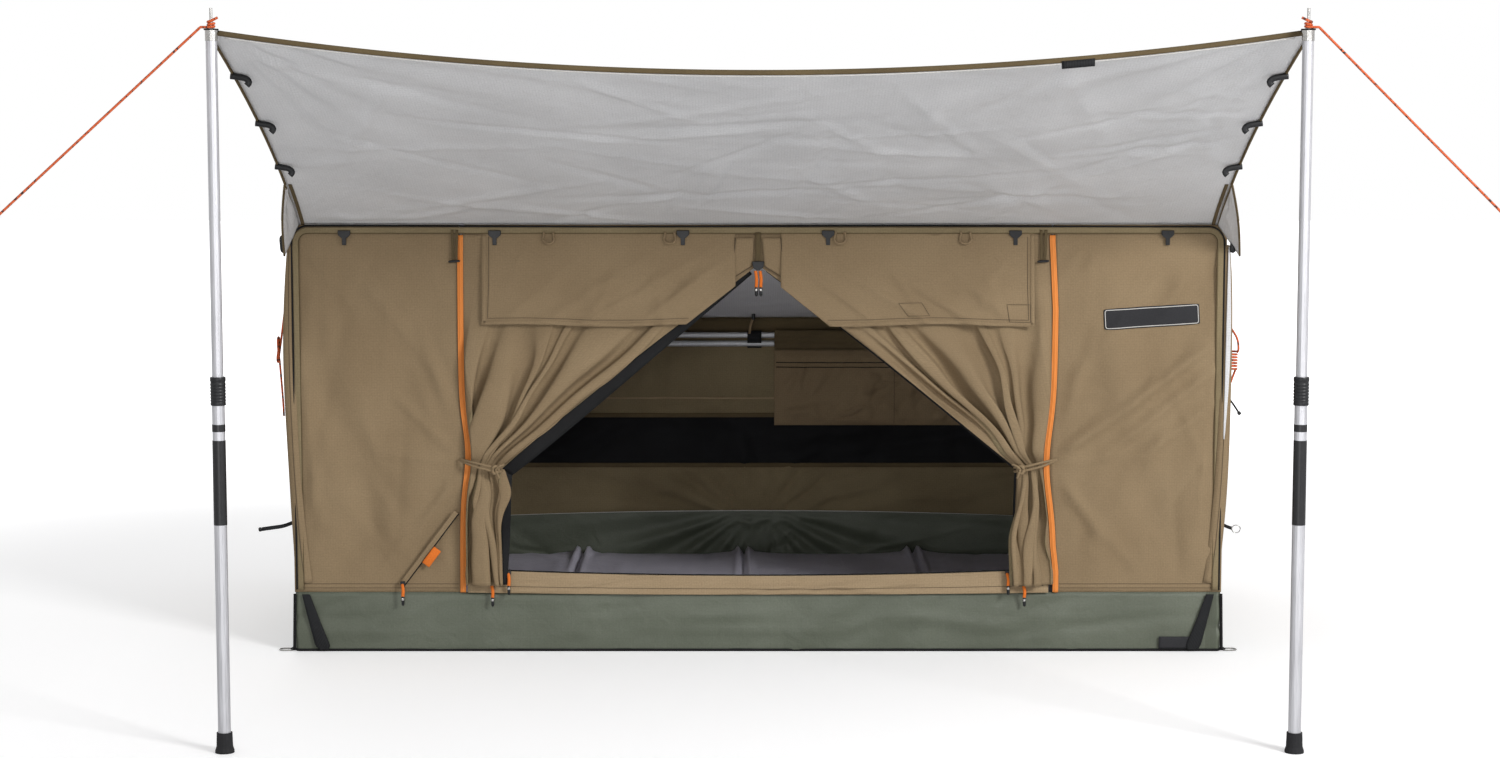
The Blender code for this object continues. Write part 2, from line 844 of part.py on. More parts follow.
def make_awning_edges():
    """The binding along each side of the awning, with its three toggles."""
    tip = awning_point(AWNING_HALF_WIDTH, WING_REACH / AWNING_REACH)
    front = awning_point(AWNING_HALF_WIDTH, 1)
    along = (front - tip).normalized() * AWNING_TOGGLE_LENGTH / 2
    for side in SIDES:
        x = side * (AWNING_HALF_WIDTH + GAP)

        def build(shape, x=x, side=side):
            outline = [
                (x, tip.y, tip.z),
                (x, front.y, front.z),
                (x, front.y, front.z - HEM_WIDTH / 2),
                (x, tip.y, tip.z - HEM_WIDTH / 2),
            ]
            add_prism(shape, outline, (side * TRIM, 0, 0))

        edge = make_object(f"awning_edge_{name_side(side)}", khaki_canvas(), build)
        for share in AWNING_TOGGLE_SHARES:

            def build_toggle(shape, x=x, side=side, share=share):
                middle = awning_point(AWNING_HALF_WIDTH, 1 - share)
                middle.x = x + side * TRIM / 2
                middle.z -= TRIM
                drop = Vector((0, 0, AWNING_TOGGLE_DEPTH))
                outline = [middle - along, middle + along, middle + along - drop, middle - along - drop]
                add_prism(shape, outline, (side * TOGGLE_DEPTH, 0, 0))

            fuse(edge, build_toggle)


def make_rim_tape():
    """The black tape under the rim: six toggles, the door's centre tape and its top slider."""
    face = FRONT_Y - GAP
    top = FRONT_WALL_TOP
    slider_low = DOOR_TOP + GAP + SLIDER_CLEAR

    def build(shape):
        reach = HALF_LENGTH - RIM_INSET
        stem = TOGGLE_STEM / 4
        low = top - RIM_WIDTH
        outline = [
            (-reach, face, low),
            (-stem, face, low),
            (-stem, face, slider_low),
            (stem, face, slider_low),
            (stem, face, low),
            (reach, face, low),
            (reach, face, top),
            (-reach, face, top),
        ]
        add_prism(shape, outline, (0, -TRIM, 0))

    tape = make_object("rim_tape", black_webbing_cloth(), build)

    def build_slider(shape):
        half = SLIDER_WIDTH / 2
        low = (-half, face - SLIDER_DEPTH, slider_low)
        add_block(shape, low, (half, face - TRIM / 2, slider_low + SLIDER_HEIGHT))

    fuse(tape, build_slider)
    for place in TOGGLE_PLACES:

        def build_toggle(shape, x=place):
            front = face - TRIM / 2
            head = top - GAP - TOGGLE_HEIGHT
            half = TOGGLE_WIDTH / 2
            stem = TOGGLE_STEM / 2
            outline = [
                (x - half, front, top - GAP),
                (x - half, front, head),
                (x - stem, front, head),
                (x - stem, front, head - TOGGLE_STEM_DROP),
                (x + stem, front, head - TOGGLE_STEM_DROP),
                (x + stem, front, head),
                (x + half, front, head),
                (x + half, front, top - GAP),
            ]
            add_prism(shape, outline, (0, -TOGGLE_DEPTH, 0))

        fuse(tape, build_toggle)


def vent_point(share, across=0.0):
    """A point on the front face along the slanting vent zip, and beside it."""
    low = Vector((VENT_LOW[0], 0, VENT_LOW[1]))
    high = Vector((VENT_HIGH[0], 0, VENT_HIGH[1]))
    along = (high - low).normalized()
    beside = Vector((along.z, 0, -along.x))
    place = low + (high - low) * share + beside * across
    return Vector((place.x, FRONT_Y - GAP, place.z))


def make_vent_zip():
    """The slanting vent zip low on the left panel, one outline with its wider sewn tag."""
    tag_start = VENT_TAG_START_SHARE
    tag_end = tag_start + VENT_TAG_LENGTH / math.dist(VENT_LOW, VENT_HIGH)
    narrow = VENT_WIDTH / 2
    wide = VENT_TAG_WIDTH / 2
    edge = ((0, narrow), (tag_start, narrow), (tag_start, wide), (tag_end, wide), (tag_end, narrow))
    edge = (*edge, (1, narrow))

    def build(shape):
        outline = [vent_point(share, across) for share, across in edge]
        outline += [vent_point(share, -across) for share, across in reversed(edge)]
        add_prism(shape, outline, (0, -TRIM / 2, 0))

    make_object("vent_zip", orange_tape(), build)


def make_pocket_panel():
    """The storage pockets on the inside of the rear wall."""

    def build(shape):
        back = HALF_DEPTH - CLOTH - GAP
        low = (POCKET_LEFT, back - POCKET_DEPTH, POCKET_LOW)
        add_block(shape, low, (POCKET_RIGHT, back, POCKET_HIGH))

    make_object("pocket_panel", khaki_canvas(), build)


def make_rail_cover():
    """The cloth sleeve over the right part of the rear rails."""

    def build(shape):
        low = (POCKET_LEFT, RAIL_FACE_Y - CLOTH, REAR_RAIL_Z - RAIL_COVER_RISE)
        add_block(shape, low, (RAIL_COVER_RIGHT, RAIL_FACE_Y, REAR_RAIL_Z + RAIL_COVER_RISE))

    make_object("rail_cover", black_webbing_cloth(), build)


def make_corner_covers():
    """The cloth strips over the front corner zips, bulging out, each with a rope's anchor tab."""
    for side in SIDES:

        def build(shape, side=side):
            rows = []
            for row in range(COVER_ROWS + 1):
                share = row / COVER_ROWS
                z = COVER_LOW + (COVER_HIGH - COVER_LOW) * share
                out = HALF_LENGTH + GAP + CLOTH + COVER_BULGE * math.sin(math.pi * share)
                points = []
                for column in range(COVER_COLUMNS + 1):
                    y = FRONT_Y + COVER_WIDTH * column / COVER_COLUMNS
                    points.append((side * out, y, z))
                rows.append(points)
            add_sheet(shape, rows, (-side * CLOTH, 0, 0))

        def build_anchor(shape, side=side):
            wall = side * (HALF_LENGTH + GAP)
            low = (wall, FRONT_Y + COVER_WIDTH - CLOTH, ANCHOR_Z)
            add_block(shape, low, (wall + side * ANCHOR_REACH, ANCHOR_BACK_Y, ANCHOR_Z + ANCHOR_THICK))

        cover = make_object(f"corner_cover_{name_side(side)}", khaki_canvas(), build)
        fuse(cover, build_anchor)


def make_corner_webbing():
    """Black webbing at each front corner: a slanting band, a corner strip and the ring's tab."""
    face = FRONT_Y - GAP
    for side in SIDES:
        wall = side * (HALF_LENGTH + GAP)
        ring_y = FRONT_Y + RING_Y_INSET
        tab_back = ring_y + RING_TAB_WIDTH / 2

        def build_band(shape, side=side):
            outline = [
                (side * BAND_FOOT_X, face, 0),
                (side * (BAND_FOOT_X - BAND_FOOT_WIDTH), face, 0),
                (side * (BAND_TOP_X - BAND_TOP_WIDTH), face, BAND_HEIGHT),
                (side * BAND_TOP_X, face, BAND_HEIGHT),
            ]
            add_prism(shape, outline, (0, -TRIM, 0))

        def build_foot(shape, side=side, wall=wall):
            start = side * (BAND_FOOT_X - BAND_FOOT_WIDTH / 2)
            add_block(shape, (start, face - TRIM / 2, 0), (wall + side * TRIM, face, FOOT_STRIP))

        def build_strip(shape, side=side, wall=wall):
            low = (wall, face - TRIM / 4, 0)
            add_block(shape, low, (wall + side * TRIM / 2, FRONT_Y + STRIP_WIDTH, COVER_LOW - GAP))

        def build_tab(shape, side=side, wall=wall, tab_back=tab_back):
            low = (wall, face - TRIM / 8, 0)
            add_block(shape, low, (wall + side * RING_TAB_REACH, tab_back, 2 * RING_WIRE))

        name = f"corner_webbing_{name_side(side)}"
        webbing = make_object(name, black_webbing_cloth(), build_band)
        fuse(webbing, build_foot)
        fuse(webbing, build_strip)
        fuse(webbing, build_tab)


def ring_hinge(side):
    """The axis of a corner ring, along Y through its straight bar."""
    x = side * (HALF_LENGTH + GAP + RING_TAB_REACH + GAP + RING_WIRE)
    return Vector((x, FRONT_Y + RING_Y_INSET, RING_WIRE))


def make_corner_rings():
    """A steel D-ring lying out from each front corner: a straight bar and a half-round bow."""
    for side in SIDES:
        hinge = ring_hinge(side)

        def build(shape, side=side, hinge=hinge):
            path = [hinge + Vector((0, -RING_HALF_WIDTH, 0)), hinge + Vector((0, RING_HALF_WIDTH, 0))]
            for step in range(RING_ARC_STEPS + 1):
                angle = math.pi * (0.5 - step / RING_ARC_STEPS)
                bow = (RING_LENGTH - RING_HALF_WIDTH) + RING_HALF_WIDTH * math.cos(angle)
                path.append(hinge + Vector((side * bow, RING_HALF_WIDTH * math.sin(angle), 0)))
            add_closed_wire(shape, path, RING_WIRE)

        name = f"corner_ring_{name_side(side)}"
        make_object(name, bright_steel(), build, origin=hinge, round_piece=True)


def add_closed_wire(shape, path, radius):
    """A round wire along a closed flat path."""
    count = len(path)
    loops = []
    for place, point in enumerate(path):
        before = (point - path[place - 1]).normalized()
        after = (path[(place + 1) % count] - point).normalized()
        along = (before + after).normalized()
        up = Vector((0, 0, 1))
        across = along.cross(up).normalized() / math.sqrt((1 + before.dot(after)) / 2)
        loop = []
        for corner in range(RING_SIDES):
            angle = math.tau * (corner + 0.5) / RING_SIDES
            offset = across * math.cos(angle) + up * math.sin(angle)
            loop.append(shape.verts.new(point + offset * radius))
        loops.append(loop)
    for place, loop in enumerate(loops):
        follow = loops[(place + 1) % count]
        for corner in range(RING_SIDES):
            after = (corner + 1) % RING_SIDES
            shape.faces.new((loop[corner], loop[after], follow[after], follow[corner]))


def make_base_bars():
    """A flat bar along each end of the floor, with two hub plates for each folding leg."""
    floor = CLOTH + GAP
    reach = HUB_Y + BASE_BAR_OVERHANG
    for side in SIDES:

        def build_bar(shape, side=side):
            inner = side * (REAR_LEG_X - TUBE_RADIUS - GAP - PLATE - BASE_BAR_MARGIN)
            outer = side * (FRONT_LEG_X + TUBE_RADIUS + GAP + PLATE + BASE_BAR_MARGIN)
            add_block(shape, (inner, -reach, floor), (outer, reach, floor + BASE_BAR_HEIGHT))

        bar = make_object(f"base_bar_{name_side(side)}", mill_aluminium(), build_bar)
        for leg_x, hub_y in ((FRONT_LEG_X, -HUB_Y), (REAR_LEG_X, HUB_Y)):
            for face in SIDES:

                def build_plate(shape, near=side * leg_x + face * (TUBE_RADIUS + GAP), y=hub_y, face=face):
                    low = (near, y - PLATE_HALF_WIDTH, floor + BASE_BAR_HEIGHT / 2)
                    high = (near + face * PLATE, y + PLATE_HALF_WIDTH, HUB_Z + PLATE_HALF_WIDTH)
                    add_block(shape, low, high)

                fuse(bar, build_plate)


def make_leg(name, x, hub, rail, block_length):
    """One leg of a hoop: a tube from its hub knuckle to the corner block that takes the rail."""
    aim = (rail - hub).normalized()
    across = Vector((x, 0, 0))
    half = Vector((TUBE_RADIUS, 0, 0))

    def build_tube(shape):
        add_rod(shape, hub + across, rail + across, TUBE_RADIUS - GAP, TUBE_SIDES)

    def build_knuckle(shape):
        add_rod(shape, hub + across - half, hub + across + half, KNUCKLE_RADIUS, TUBE_SIDES)

    def build_block(shape):
        forward = Vector((0, aim.z, -aim.y)) * BLOCK / 2
        rise = aim * block_length / 2
        start = rail + Vector((x - BLOCK / 2, 0, 0))
        outline = [
            start - forward - rise,
            start + forward - rise,
            start + forward + rise,
            start - forward + rise,
        ]
        add_prism(shape, outline, (BLOCK, 0, 0))

    leg = make_object(name, mill_aluminium(), build_tube, origin=hub, round_piece=True)
    fuse(leg, build_knuckle)
    fuse(leg, build_block)


def make_front_hoop():
    """The front hoop of the folding frame: a top rail between two legs."""

    def build_rail(shape):
        across = Vector((FRONT_LEG_X - BLOCK / 2 - GAP, 0, 0))
        add_rod(shape, FRONT_RAIL - across, FRONT_RAIL + across, TUBE_RADIUS, TUBE_SIDES)

    make_object("front_rail", mill_aluminium(), build_rail, origin=FRONT_HUB, round_piece=True)
    for side in SIDES:
        make_leg(f"front_leg_{name_side(side)}", side * FRONT_LEG_X, FRONT_HUB, FRONT_RAIL, BLOCK)


def make_rear_hoop():
    """The rear hoop: two rails, one above the other and joined near their ends, on two legs."""
    across = Vector((REAR_LEG_X - BLOCK / 2 - GAP, 0, 0))
    half_pitch = REAR_AIM * REAR_RAIL_PITCH / 2

    def build_upper(shape):
        middle = REAR_RAIL + half_pitch
        add_rod(shape, middle - across, middle + across, TUBE_RADIUS, TUBE_SIDES)

    def build_lower(shape):
        middle = REAR_RAIL - half_pitch
        add_rod(shape, middle - across, middle + across, TUBE_RADIUS, TUBE_SIDES)

    rails = make_object("rear_rails", mill_aluminium(), build_upper, origin=REAR_HUB, round_piece=True)
    fuse(rails, build_lower)
    for side in SIDES:

        def build_link(shape, side=side):
            middle = REAR_RAIL + Vector((side * (across.x - BLOCK), 0, 0))
            add_rod(shape, middle - half_pitch, middle + half_pitch, TUBE_RADIUS / 2, TUBE_SIDES)

        fuse(rails, build_link)
        length = REAR_RAIL_PITCH + BLOCK
        make_leg(f"rear_leg_{name_side(side)}", side * REAR_LEG_X, REAR_HUB, REAR_RAIL, length)


def make_pole(side):
    """One telescopic awning pole: upper rod, lower tube, lock collar and rubber foot."""
    x = side * POLE_X
    centre = (x, POLE_Y)
    place = name_side(side)

    def build_upper(shape):
        top = POLE_HEIGHT - CAP_HEIGHT - GAP
        add_rod(shape, (x, POLE_Y, UPPER_BOTTOM), (x, POLE_Y, top), UPPER_RADIUS, POLE_SIDES)

    def build_lower(shape):
        low = FOOT_FLOOR + GAP
        profile = [
            (LOWER_INNER, low),
            (LOWER_RADIUS, low),
            (LOWER_RADIUS, LOWER_TOP),
            (LOWER_INNER, LOWER_TOP),
        ]
        add_turned(shape, profile, centre, POLE_SIDES)

    def build_collar(shape):
        outer = LOWER_RADIUS + GAP + COLLAR_WALL
        profile = [
            (LOWER_RADIUS + GAP, COLLAR_LOW),
            (outer, COLLAR_LOW),
            (outer, COLLAR_HIGH),
            (LOWER_INNER, COLLAR_HIGH),
            (LOWER_INNER, LOWER_TOP + GAP),
            (LOWER_RADIUS + GAP, LOWER_TOP + GAP),
        ]
        add_turned(shape, profile, centre, POLE_SIDES)

    def build_foot(shape):
        bore = LOWER_RADIUS + GAP
        wide = bore + FOOT_WALL
        flare = wide + FOOT_FLARE
        profile = [
            (0, 0),
            (flare, 0),
            (flare, FOOT_RIM),
            (wide + FOOT_FLARE / 4, FOOT_FLOOR),
            (wide, FOOT_HEIGHT),
            (bore, FOOT_HEIGHT),
            (bore, FOOT_FLOOR),
            (0, FOOT_FLOOR),
        ]
        add_turned(shape, profile, centre, POLE_SIDES)

    origin = (x, POLE_Y, 0)
    make_object(f"pole_upper_{place}", white_aluminium(), build_upper, origin, True)
    make_object(f"pole_lower_{place}", white_aluminium(), build_lower, origin, True)
    make_object(f"lock_collar_{place}", black_plastic(), build_collar, origin, True)
    make_object(f"pole_foot_{place}", foot_rubber(), build_foot, origin, True)


def make_pole_spikes():
    """The cap and steel spike on each pole."""
    for side in SIDES:

        def build(shape, side=side):
            low = POLE_HEIGHT - CAP_HEIGHT
            profile = [
                (0, low),
                (CAP_RADIUS, low),
                (CAP_RADIUS, POLE_HEIGHT),
                (SPIKE_RADIUS, POLE_HEIGHT),
                (SPIKE_RADIUS, POLE_HEIGHT + SPIKE_LENGTH),
                (0, POLE_HEIGHT + SPIKE_LENGTH),
            ]
            add_turned(shape, profile, (side * POLE_X, POLE_Y), POLE_SIDES)

        make_object(f"pole_spike_{name_side(side)}", bright_steel(), build, round_piece=True)


def knot_points(side, lead):
    """A rope wound round a spike: the lead in from the guy rope, the turns and a short tail."""
    radius = SPIKE_RADIUS + KNOT_CLEAR + ROPE / 2
    low = TAB_TOP + KNOT_CLEAR + ROPE / 2
    turns = []
    for step in range(KNOT_TURNS * LOOP_POINTS + 1):
        angle = math.tau * step / LOOP_POINTS
        rise = KNOT_PITCH * step / LOOP_POINTS
        x = side * (POLE_X - radius * math.sin(angle))
        turns.append(Vector((x, POLE_Y - radius * math.cos(angle), low + rise)))
    tail = [turns[-1] + Vector((-side * KNOT_TAIL, 0, KNOT_TAIL / 2))]
    return lead + turns + tail


def guy_line(side):
    """Where a guy rope starts beside its knot, where it ends, and its direction."""
    end_x, end_z = GUY_LEFT_END if side < 0 else GUY_RIGHT_END
    radius = SPIKE_RADIUS + KNOT_CLEAR + ROPE / 2
    low = TAB_TOP + KNOT_CLEAR + ROPE / 2
    edge = Vector((side * (POLE_X + EYELET_RADIUS + ROPE), POLE_Y - radius, low))
    end = Vector((end_x, POLE_Y - radius, end_z))
    return edge, end, (end - edge).normalized()


def eye_points(end, aim):
    """A rope's end turned back into an open eye, in the upright plane of the rope."""
    up = Vector((0, -1, 0)).cross(aim)
    centre = end + up * EYE_RADIUS
    points = []
    for step in range(1, EYE_POINTS + 1):
        angle = EYE_TURN * step / EYE_POINTS - math.pi / 2
        points.append(centre + (aim * math.cos(angle) + up * math.sin(angle)) * EYE_RADIUS)
    return points


def make_guy_ropes():
    """The two guy ropes, each with its knot round a spike and an eye just past the view."""
    for side in SIDES:
        edge, end, aim = guy_line(side)
        square = edge + aim * ROPE * 2
        lead = smooth_route((square, edge + aim * ROPE, edge), ROPE)
        knot = knot_points(side, lead)
        name = f"guy_knot_{name_side(side)}"
        make_cord(name, knot, COIL_RESOLUTION)
        print("least gap in", name, round(least_gap(knot, ROPE), 5), "m")
        start = square + aim * GAP
        rope = smooth_route((start, start + (end - start) / 2, end), ROPE_POINT_STEP)
        make_cord(f"guy_rope_{name_side(side)}", rope + eye_points(end, aim), ROPE_RESOLUTION)


def spare_left_route():
    """The left spare rope, which hangs from its anchor with one slack bight."""
    return (
        (-1.098, -0.430, 0.8497),
        (-1.098, -0.430, 0.80),
        (-1.099, -0.430, 0.745),
        (-1.106, -0.430, 0.700),
        (-1.111, -0.433, 0.672),
        (-1.114, -0.439, 0.664),
        (-1.113, -0.444, 0.674),
        (-1.109, -0.445, 0.705),
        (-1.108, -0.448, 0.722),
        (-1.107, -0.454, 0.727),
        (-1.105, -0.457, 0.715),
        (-1.102, -0.456, 0.670),
        (-1.101, -0.452, 0.61),
        (-1.101, -0.450, 0.56),
        (-1.101, -0.450, 0.545),
    )


def hank_points():
    """The right spare rope's hank: turns about an upright axis beside the end wall."""
    centre = Vector((HALF_LENGTH + GAP + ROPE / 2 + HANK_RADIUS, SPARE_Y, 0))
    turns = []
    for step in range(HANK_TURNS * LOOP_POINTS + 1):
        angle = math.tau * step / LOOP_POINTS
        drop = HANK_PITCH * step / LOOP_POINTS
        arm = Vector((math.cos(angle), math.sin(angle), 0)) * HANK_RADIUS
        turns.append(centre + arm + Vector((0, 0, HANK_TOP - drop)))
    return turns


def hank_tail_route():
    """The slack loop below the hank, measured from the end of its last turn."""
    return (
        (0, 0, 0),
        (0, 0.012, -0.003),
        (-0.004, 0.020, -0.018),
        (-0.012, 0.014, -0.036),
        (-0.022, 0.004, -0.044),
        (-0.031, -0.004, -0.034),
        (-0.034, -0.006, -0.018),
    )


def spare_right_route():
    """The right spare rope, from its anchor, measured to the start of the hank."""
    return (
        (-0.0275, 0.022, 0.1537),
        (-0.0275, 0.022, 0.118),
        (-0.021, 0.012, 0.070),
        (-0.004, -0.012, 0.034),
        (0, -0.015, 0.010),
        (0, -0.005, 0),
        (0, 0, 0),
    )


def make_spare_ropes():
    """The spare ropes on the two ends: one hanging, one partly wound into a hank."""
    left = smooth_route(spare_left_route(), ROPE_POINT_STEP)
    make_cord("spare_rope_left", left, ROPE_RESOLUTION)
    turns = hank_points()
    lead = [turns[0] + Vector((0, -ROPE, 0)), turns[0] + Vector((0, -ROPE / 2, 0))]
    tail = smooth_route([turns[-1] + Vector(point) for point in hank_tail_route()], ROPE)
    hank = lead + turns + tail[1:]
    make_cord("spare_hank", hank, COIL_RESOLUTION)
    print("least gap in spare_hank", round(least_gap(hank, ROPE), 5), "m")
    meet = lead[0] - Vector((0, GAP, 0))
    right = smooth_route([meet + Vector(point) for point in spare_right_route()], ROPE_POINT_STEP / 2)
    make_cord("spare_rope_right", right, ROPE_RESOLUTION)


def slider_outline(x, y, top, head_width, head_length):
    """A zip pull seen from the front: a head, a cord and a bead below it."""
    cord_low = top - head_length - PULL_LENGTH
    right = [
        (x + head_width / 2, y, top),
        (x + head_width / 2, y, top - head_length),
        (x + PULL_WIDTH / 2, y, top - head_length),
        (x + PULL_WIDTH / 2, y, cord_low),
        (x + PULL_END_WIDTH / 2, y, cord_low),
        (x + PULL_END_WIDTH / 2, y, cord_low - PULL_END_LENGTH),
    ]
    left = [(2 * x - place, y, z) for place, y, z in reversed(right)]
    return right + left


def make_sliders():
    """The zip sliders with their pulls: one on each side of the sill and one on the vent zip."""
    vent = vent_point(VENT_SLIDER_SHARE)
    face = FRONT_Y - GAP
    places = (
        ("door_slider_left", -DOOR_SLIDER_X, face, SILL_TOP),
        ("door_slider_right", DOOR_SLIDER_X, face, SILL_TOP),
        ("vent_slider", vent.x, face - TRIM / 2 - GAP, vent.z),
    )
    for name, x, y, top in places:

        def build(shape, x=x, y=y, top=top):
            outline = slider_outline(x, y, top, SLIDER_WIDTH, SLIDER_HEIGHT)
            add_prism(shape, outline, (0, -PULL_DEPTH, 0))

        make_object(name, orange_tape(), build, origin=(x, y, top))


def make_apex_pull():
    """The cloth tag and bead that hang from the door's top slider, hinged at its front edge."""
    hinge = Vector((0, FRONT_Y - GAP - SLIDER_DEPTH, DOOR_TOP + SLIDER_CLEAR))

    def build(shape):
        outline = slider_outline(0, hinge.y, hinge.z, APEX_TAG_WIDTH, APEX_TAG_LENGTH)
        add_prism(shape, outline, (0, PULL_DEPTH, 0))

    make_object("apex_pull", orange_tape(), build, origin=hinge)


def build_all():
    clear_scene()
    make_tub()
    make_mattress()
    make_front_panels()
    make_front_zips()
    make_front_header()
    make_storm_flaps()
    make_door_flaps()
    make_door_sill()
    make_end_walls()
    make_rear_wall()
    make_roof()
    make_awning()
    make_awning_hem()
    make_awning_edges()
    make_rim_tape()
    make_vent_zip()
    make_pocket_panel()
    make_rail_cover()
    make_corner_covers()
    make_corner_webbing()
    make_corner_rings()
    make_base_bars()
    make_front_hoop()
    make_rear_hoop()
    for side in SIDES:
        make_pole(side)
    make_pole_spikes()
    make_guy_ropes()
    make_spare_ropes()
    make_sliders()
    make_apex_pull()


build_all()
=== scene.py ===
"""A framed swag tent with its awning propped on two poles: the looks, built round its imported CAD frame.

Metres, +X right, +Y from the door to the back wall, +Z up; the origin is under the middle of the floor.
"""

import math

import bpy
import numpy as np
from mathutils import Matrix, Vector


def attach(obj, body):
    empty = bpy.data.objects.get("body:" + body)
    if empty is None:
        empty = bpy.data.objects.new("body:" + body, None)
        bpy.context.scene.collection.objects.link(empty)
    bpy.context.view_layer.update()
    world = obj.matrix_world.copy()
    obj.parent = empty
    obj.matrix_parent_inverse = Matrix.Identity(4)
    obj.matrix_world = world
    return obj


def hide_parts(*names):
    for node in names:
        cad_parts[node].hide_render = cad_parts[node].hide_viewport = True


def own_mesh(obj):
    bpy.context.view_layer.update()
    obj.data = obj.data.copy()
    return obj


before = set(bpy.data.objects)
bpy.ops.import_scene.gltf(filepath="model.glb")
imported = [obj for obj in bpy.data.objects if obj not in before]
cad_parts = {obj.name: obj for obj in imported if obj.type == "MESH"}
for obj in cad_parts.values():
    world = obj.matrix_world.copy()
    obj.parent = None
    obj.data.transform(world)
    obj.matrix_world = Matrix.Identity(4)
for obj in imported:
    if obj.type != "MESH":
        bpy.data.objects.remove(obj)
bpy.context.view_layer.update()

# Sizes that the pieces share with the frame
HALF_LENGTH = 1.08
HALF_DEPTH = 0.525
FRONT_Y = -0.525
FRONT_TOP = 1.0
BACK_TOP = 0.71
TUB_TOP = 0.14
ZIP_X = 0.685
DOOR_TOP = 0.90
DOOR_HALF = 0.676
TIE_X = 0.60
TIE_Z = 0.43
FOOT_X = 0.592
SILL_TOP = 0.186
POLE_X = 1.045
POLE_Y = -1.525
TAB_TOP = 1.4028
AWNING_HALF = 1.057
AWNING_FRONT_Y = POLE_Y + 0.030
AWNING_SAG = 0.078
GAP = 0.0003
WALL_FOOT = TUB_TOP + GAP
CANVAS_THICK = 0.0022
ROPE = 0.005
RIGHT, BACK, UP, FRONT = (1, 0, 0), (0, 1, 0), (0, 0, 1), (0, -1, 0)
SIDES = ((-1, "left"), (1, "right"))


def add_object(name, data):
    """A new object with its data, linked into the scene."""
    thing = bpy.data.objects.new(name, data)
    bpy.context.scene.collection.objects.link(thing)
    return thing


# Camera
FOCAL_PIXELS = 2604
PHOTO_WIDTH = 1500
SENSOR = 36.0
DEGREES_DOWN = 5.36


def set_camera():
    """The photograph's view, from fitting the poles, the front wall and the inside of the back wall."""
    lens = bpy.data.cameras.new("photo_camera")
    lens.sensor_width = SENSOR
    lens.lens = FOCAL_PIXELS / PHOTO_WIDTH * SENSOR
    camera = add_object("photo_camera", lens)
    camera.location = (-0.0186, -6.525, 1.202)
    camera.rotation_euler = (math.radians(90 - DEGREES_DOWN), 0, 0)
    bpy.context.scene.camera = camera


set_camera()


# Materials
def linear(code):
    """An sRGB hex colour as linear numbers."""
    parts = [int(code[i:i + 2], 16) / 255 for i in (1, 3, 5)]
    return (*[p / 12.92 if p <= 0.04045 else ((p + 0.055) / 1.055) ** 2.4 for p in parts], 1.0)


def put(material, kind, sockets=None, **settings):
    """Adds a shader node with its settings, sets or links its input sockets, and gives its outputs."""
    tree = material.node_tree
    node = tree.nodes.new("ShaderNode" + kind)
    for key, value in settings.items():
        setattr(node, key, value)
    for key, value in (sockets or {}).items():
        if isinstance(value, bpy.types.NodeSocket):
            tree.links.new(value, node.inputs[key])
        else:
            node.inputs[key].default_value = value
    return node.outputs


def start_material(name, roughness, metallic=0.0, shine=0.5):
    """A named material and its shader's sockets; shine is the specular level, less on cloth than 0.5."""
    material = bpy.data.materials.new(name)
    material.use_nodes = True
    shader = material.node_tree.nodes["Principled BSDF"].inputs
    shader["Roughness"].default_value = roughness
    shader["Metallic"].default_value = metallic
    shader["Specular IOR Level"].default_value = shine
    return material, shader


def link(material, output, socket):
    material.node_tree.links.new(output, socket)


def tone(material, factor, low, high, dark, light):
    """A colour ramp between two hex colours over a part of the factor's range."""
    colour = put(material, "ValToRGB", {"Fac": factor})["Color"]
    for end, place, code in zip(colour.node.color_ramp.elements, (low, high), (dark, light)):
        end.position = place
        end.color = linear(code)
    return colour


# A brick pattern of squares, whose mortar makes the lines of a grid
SQUARES = {"Brick Width": 1.0, "Row Height": 1.0}
IN_LINE = {"offset": 0.0, "squash": 1.0}


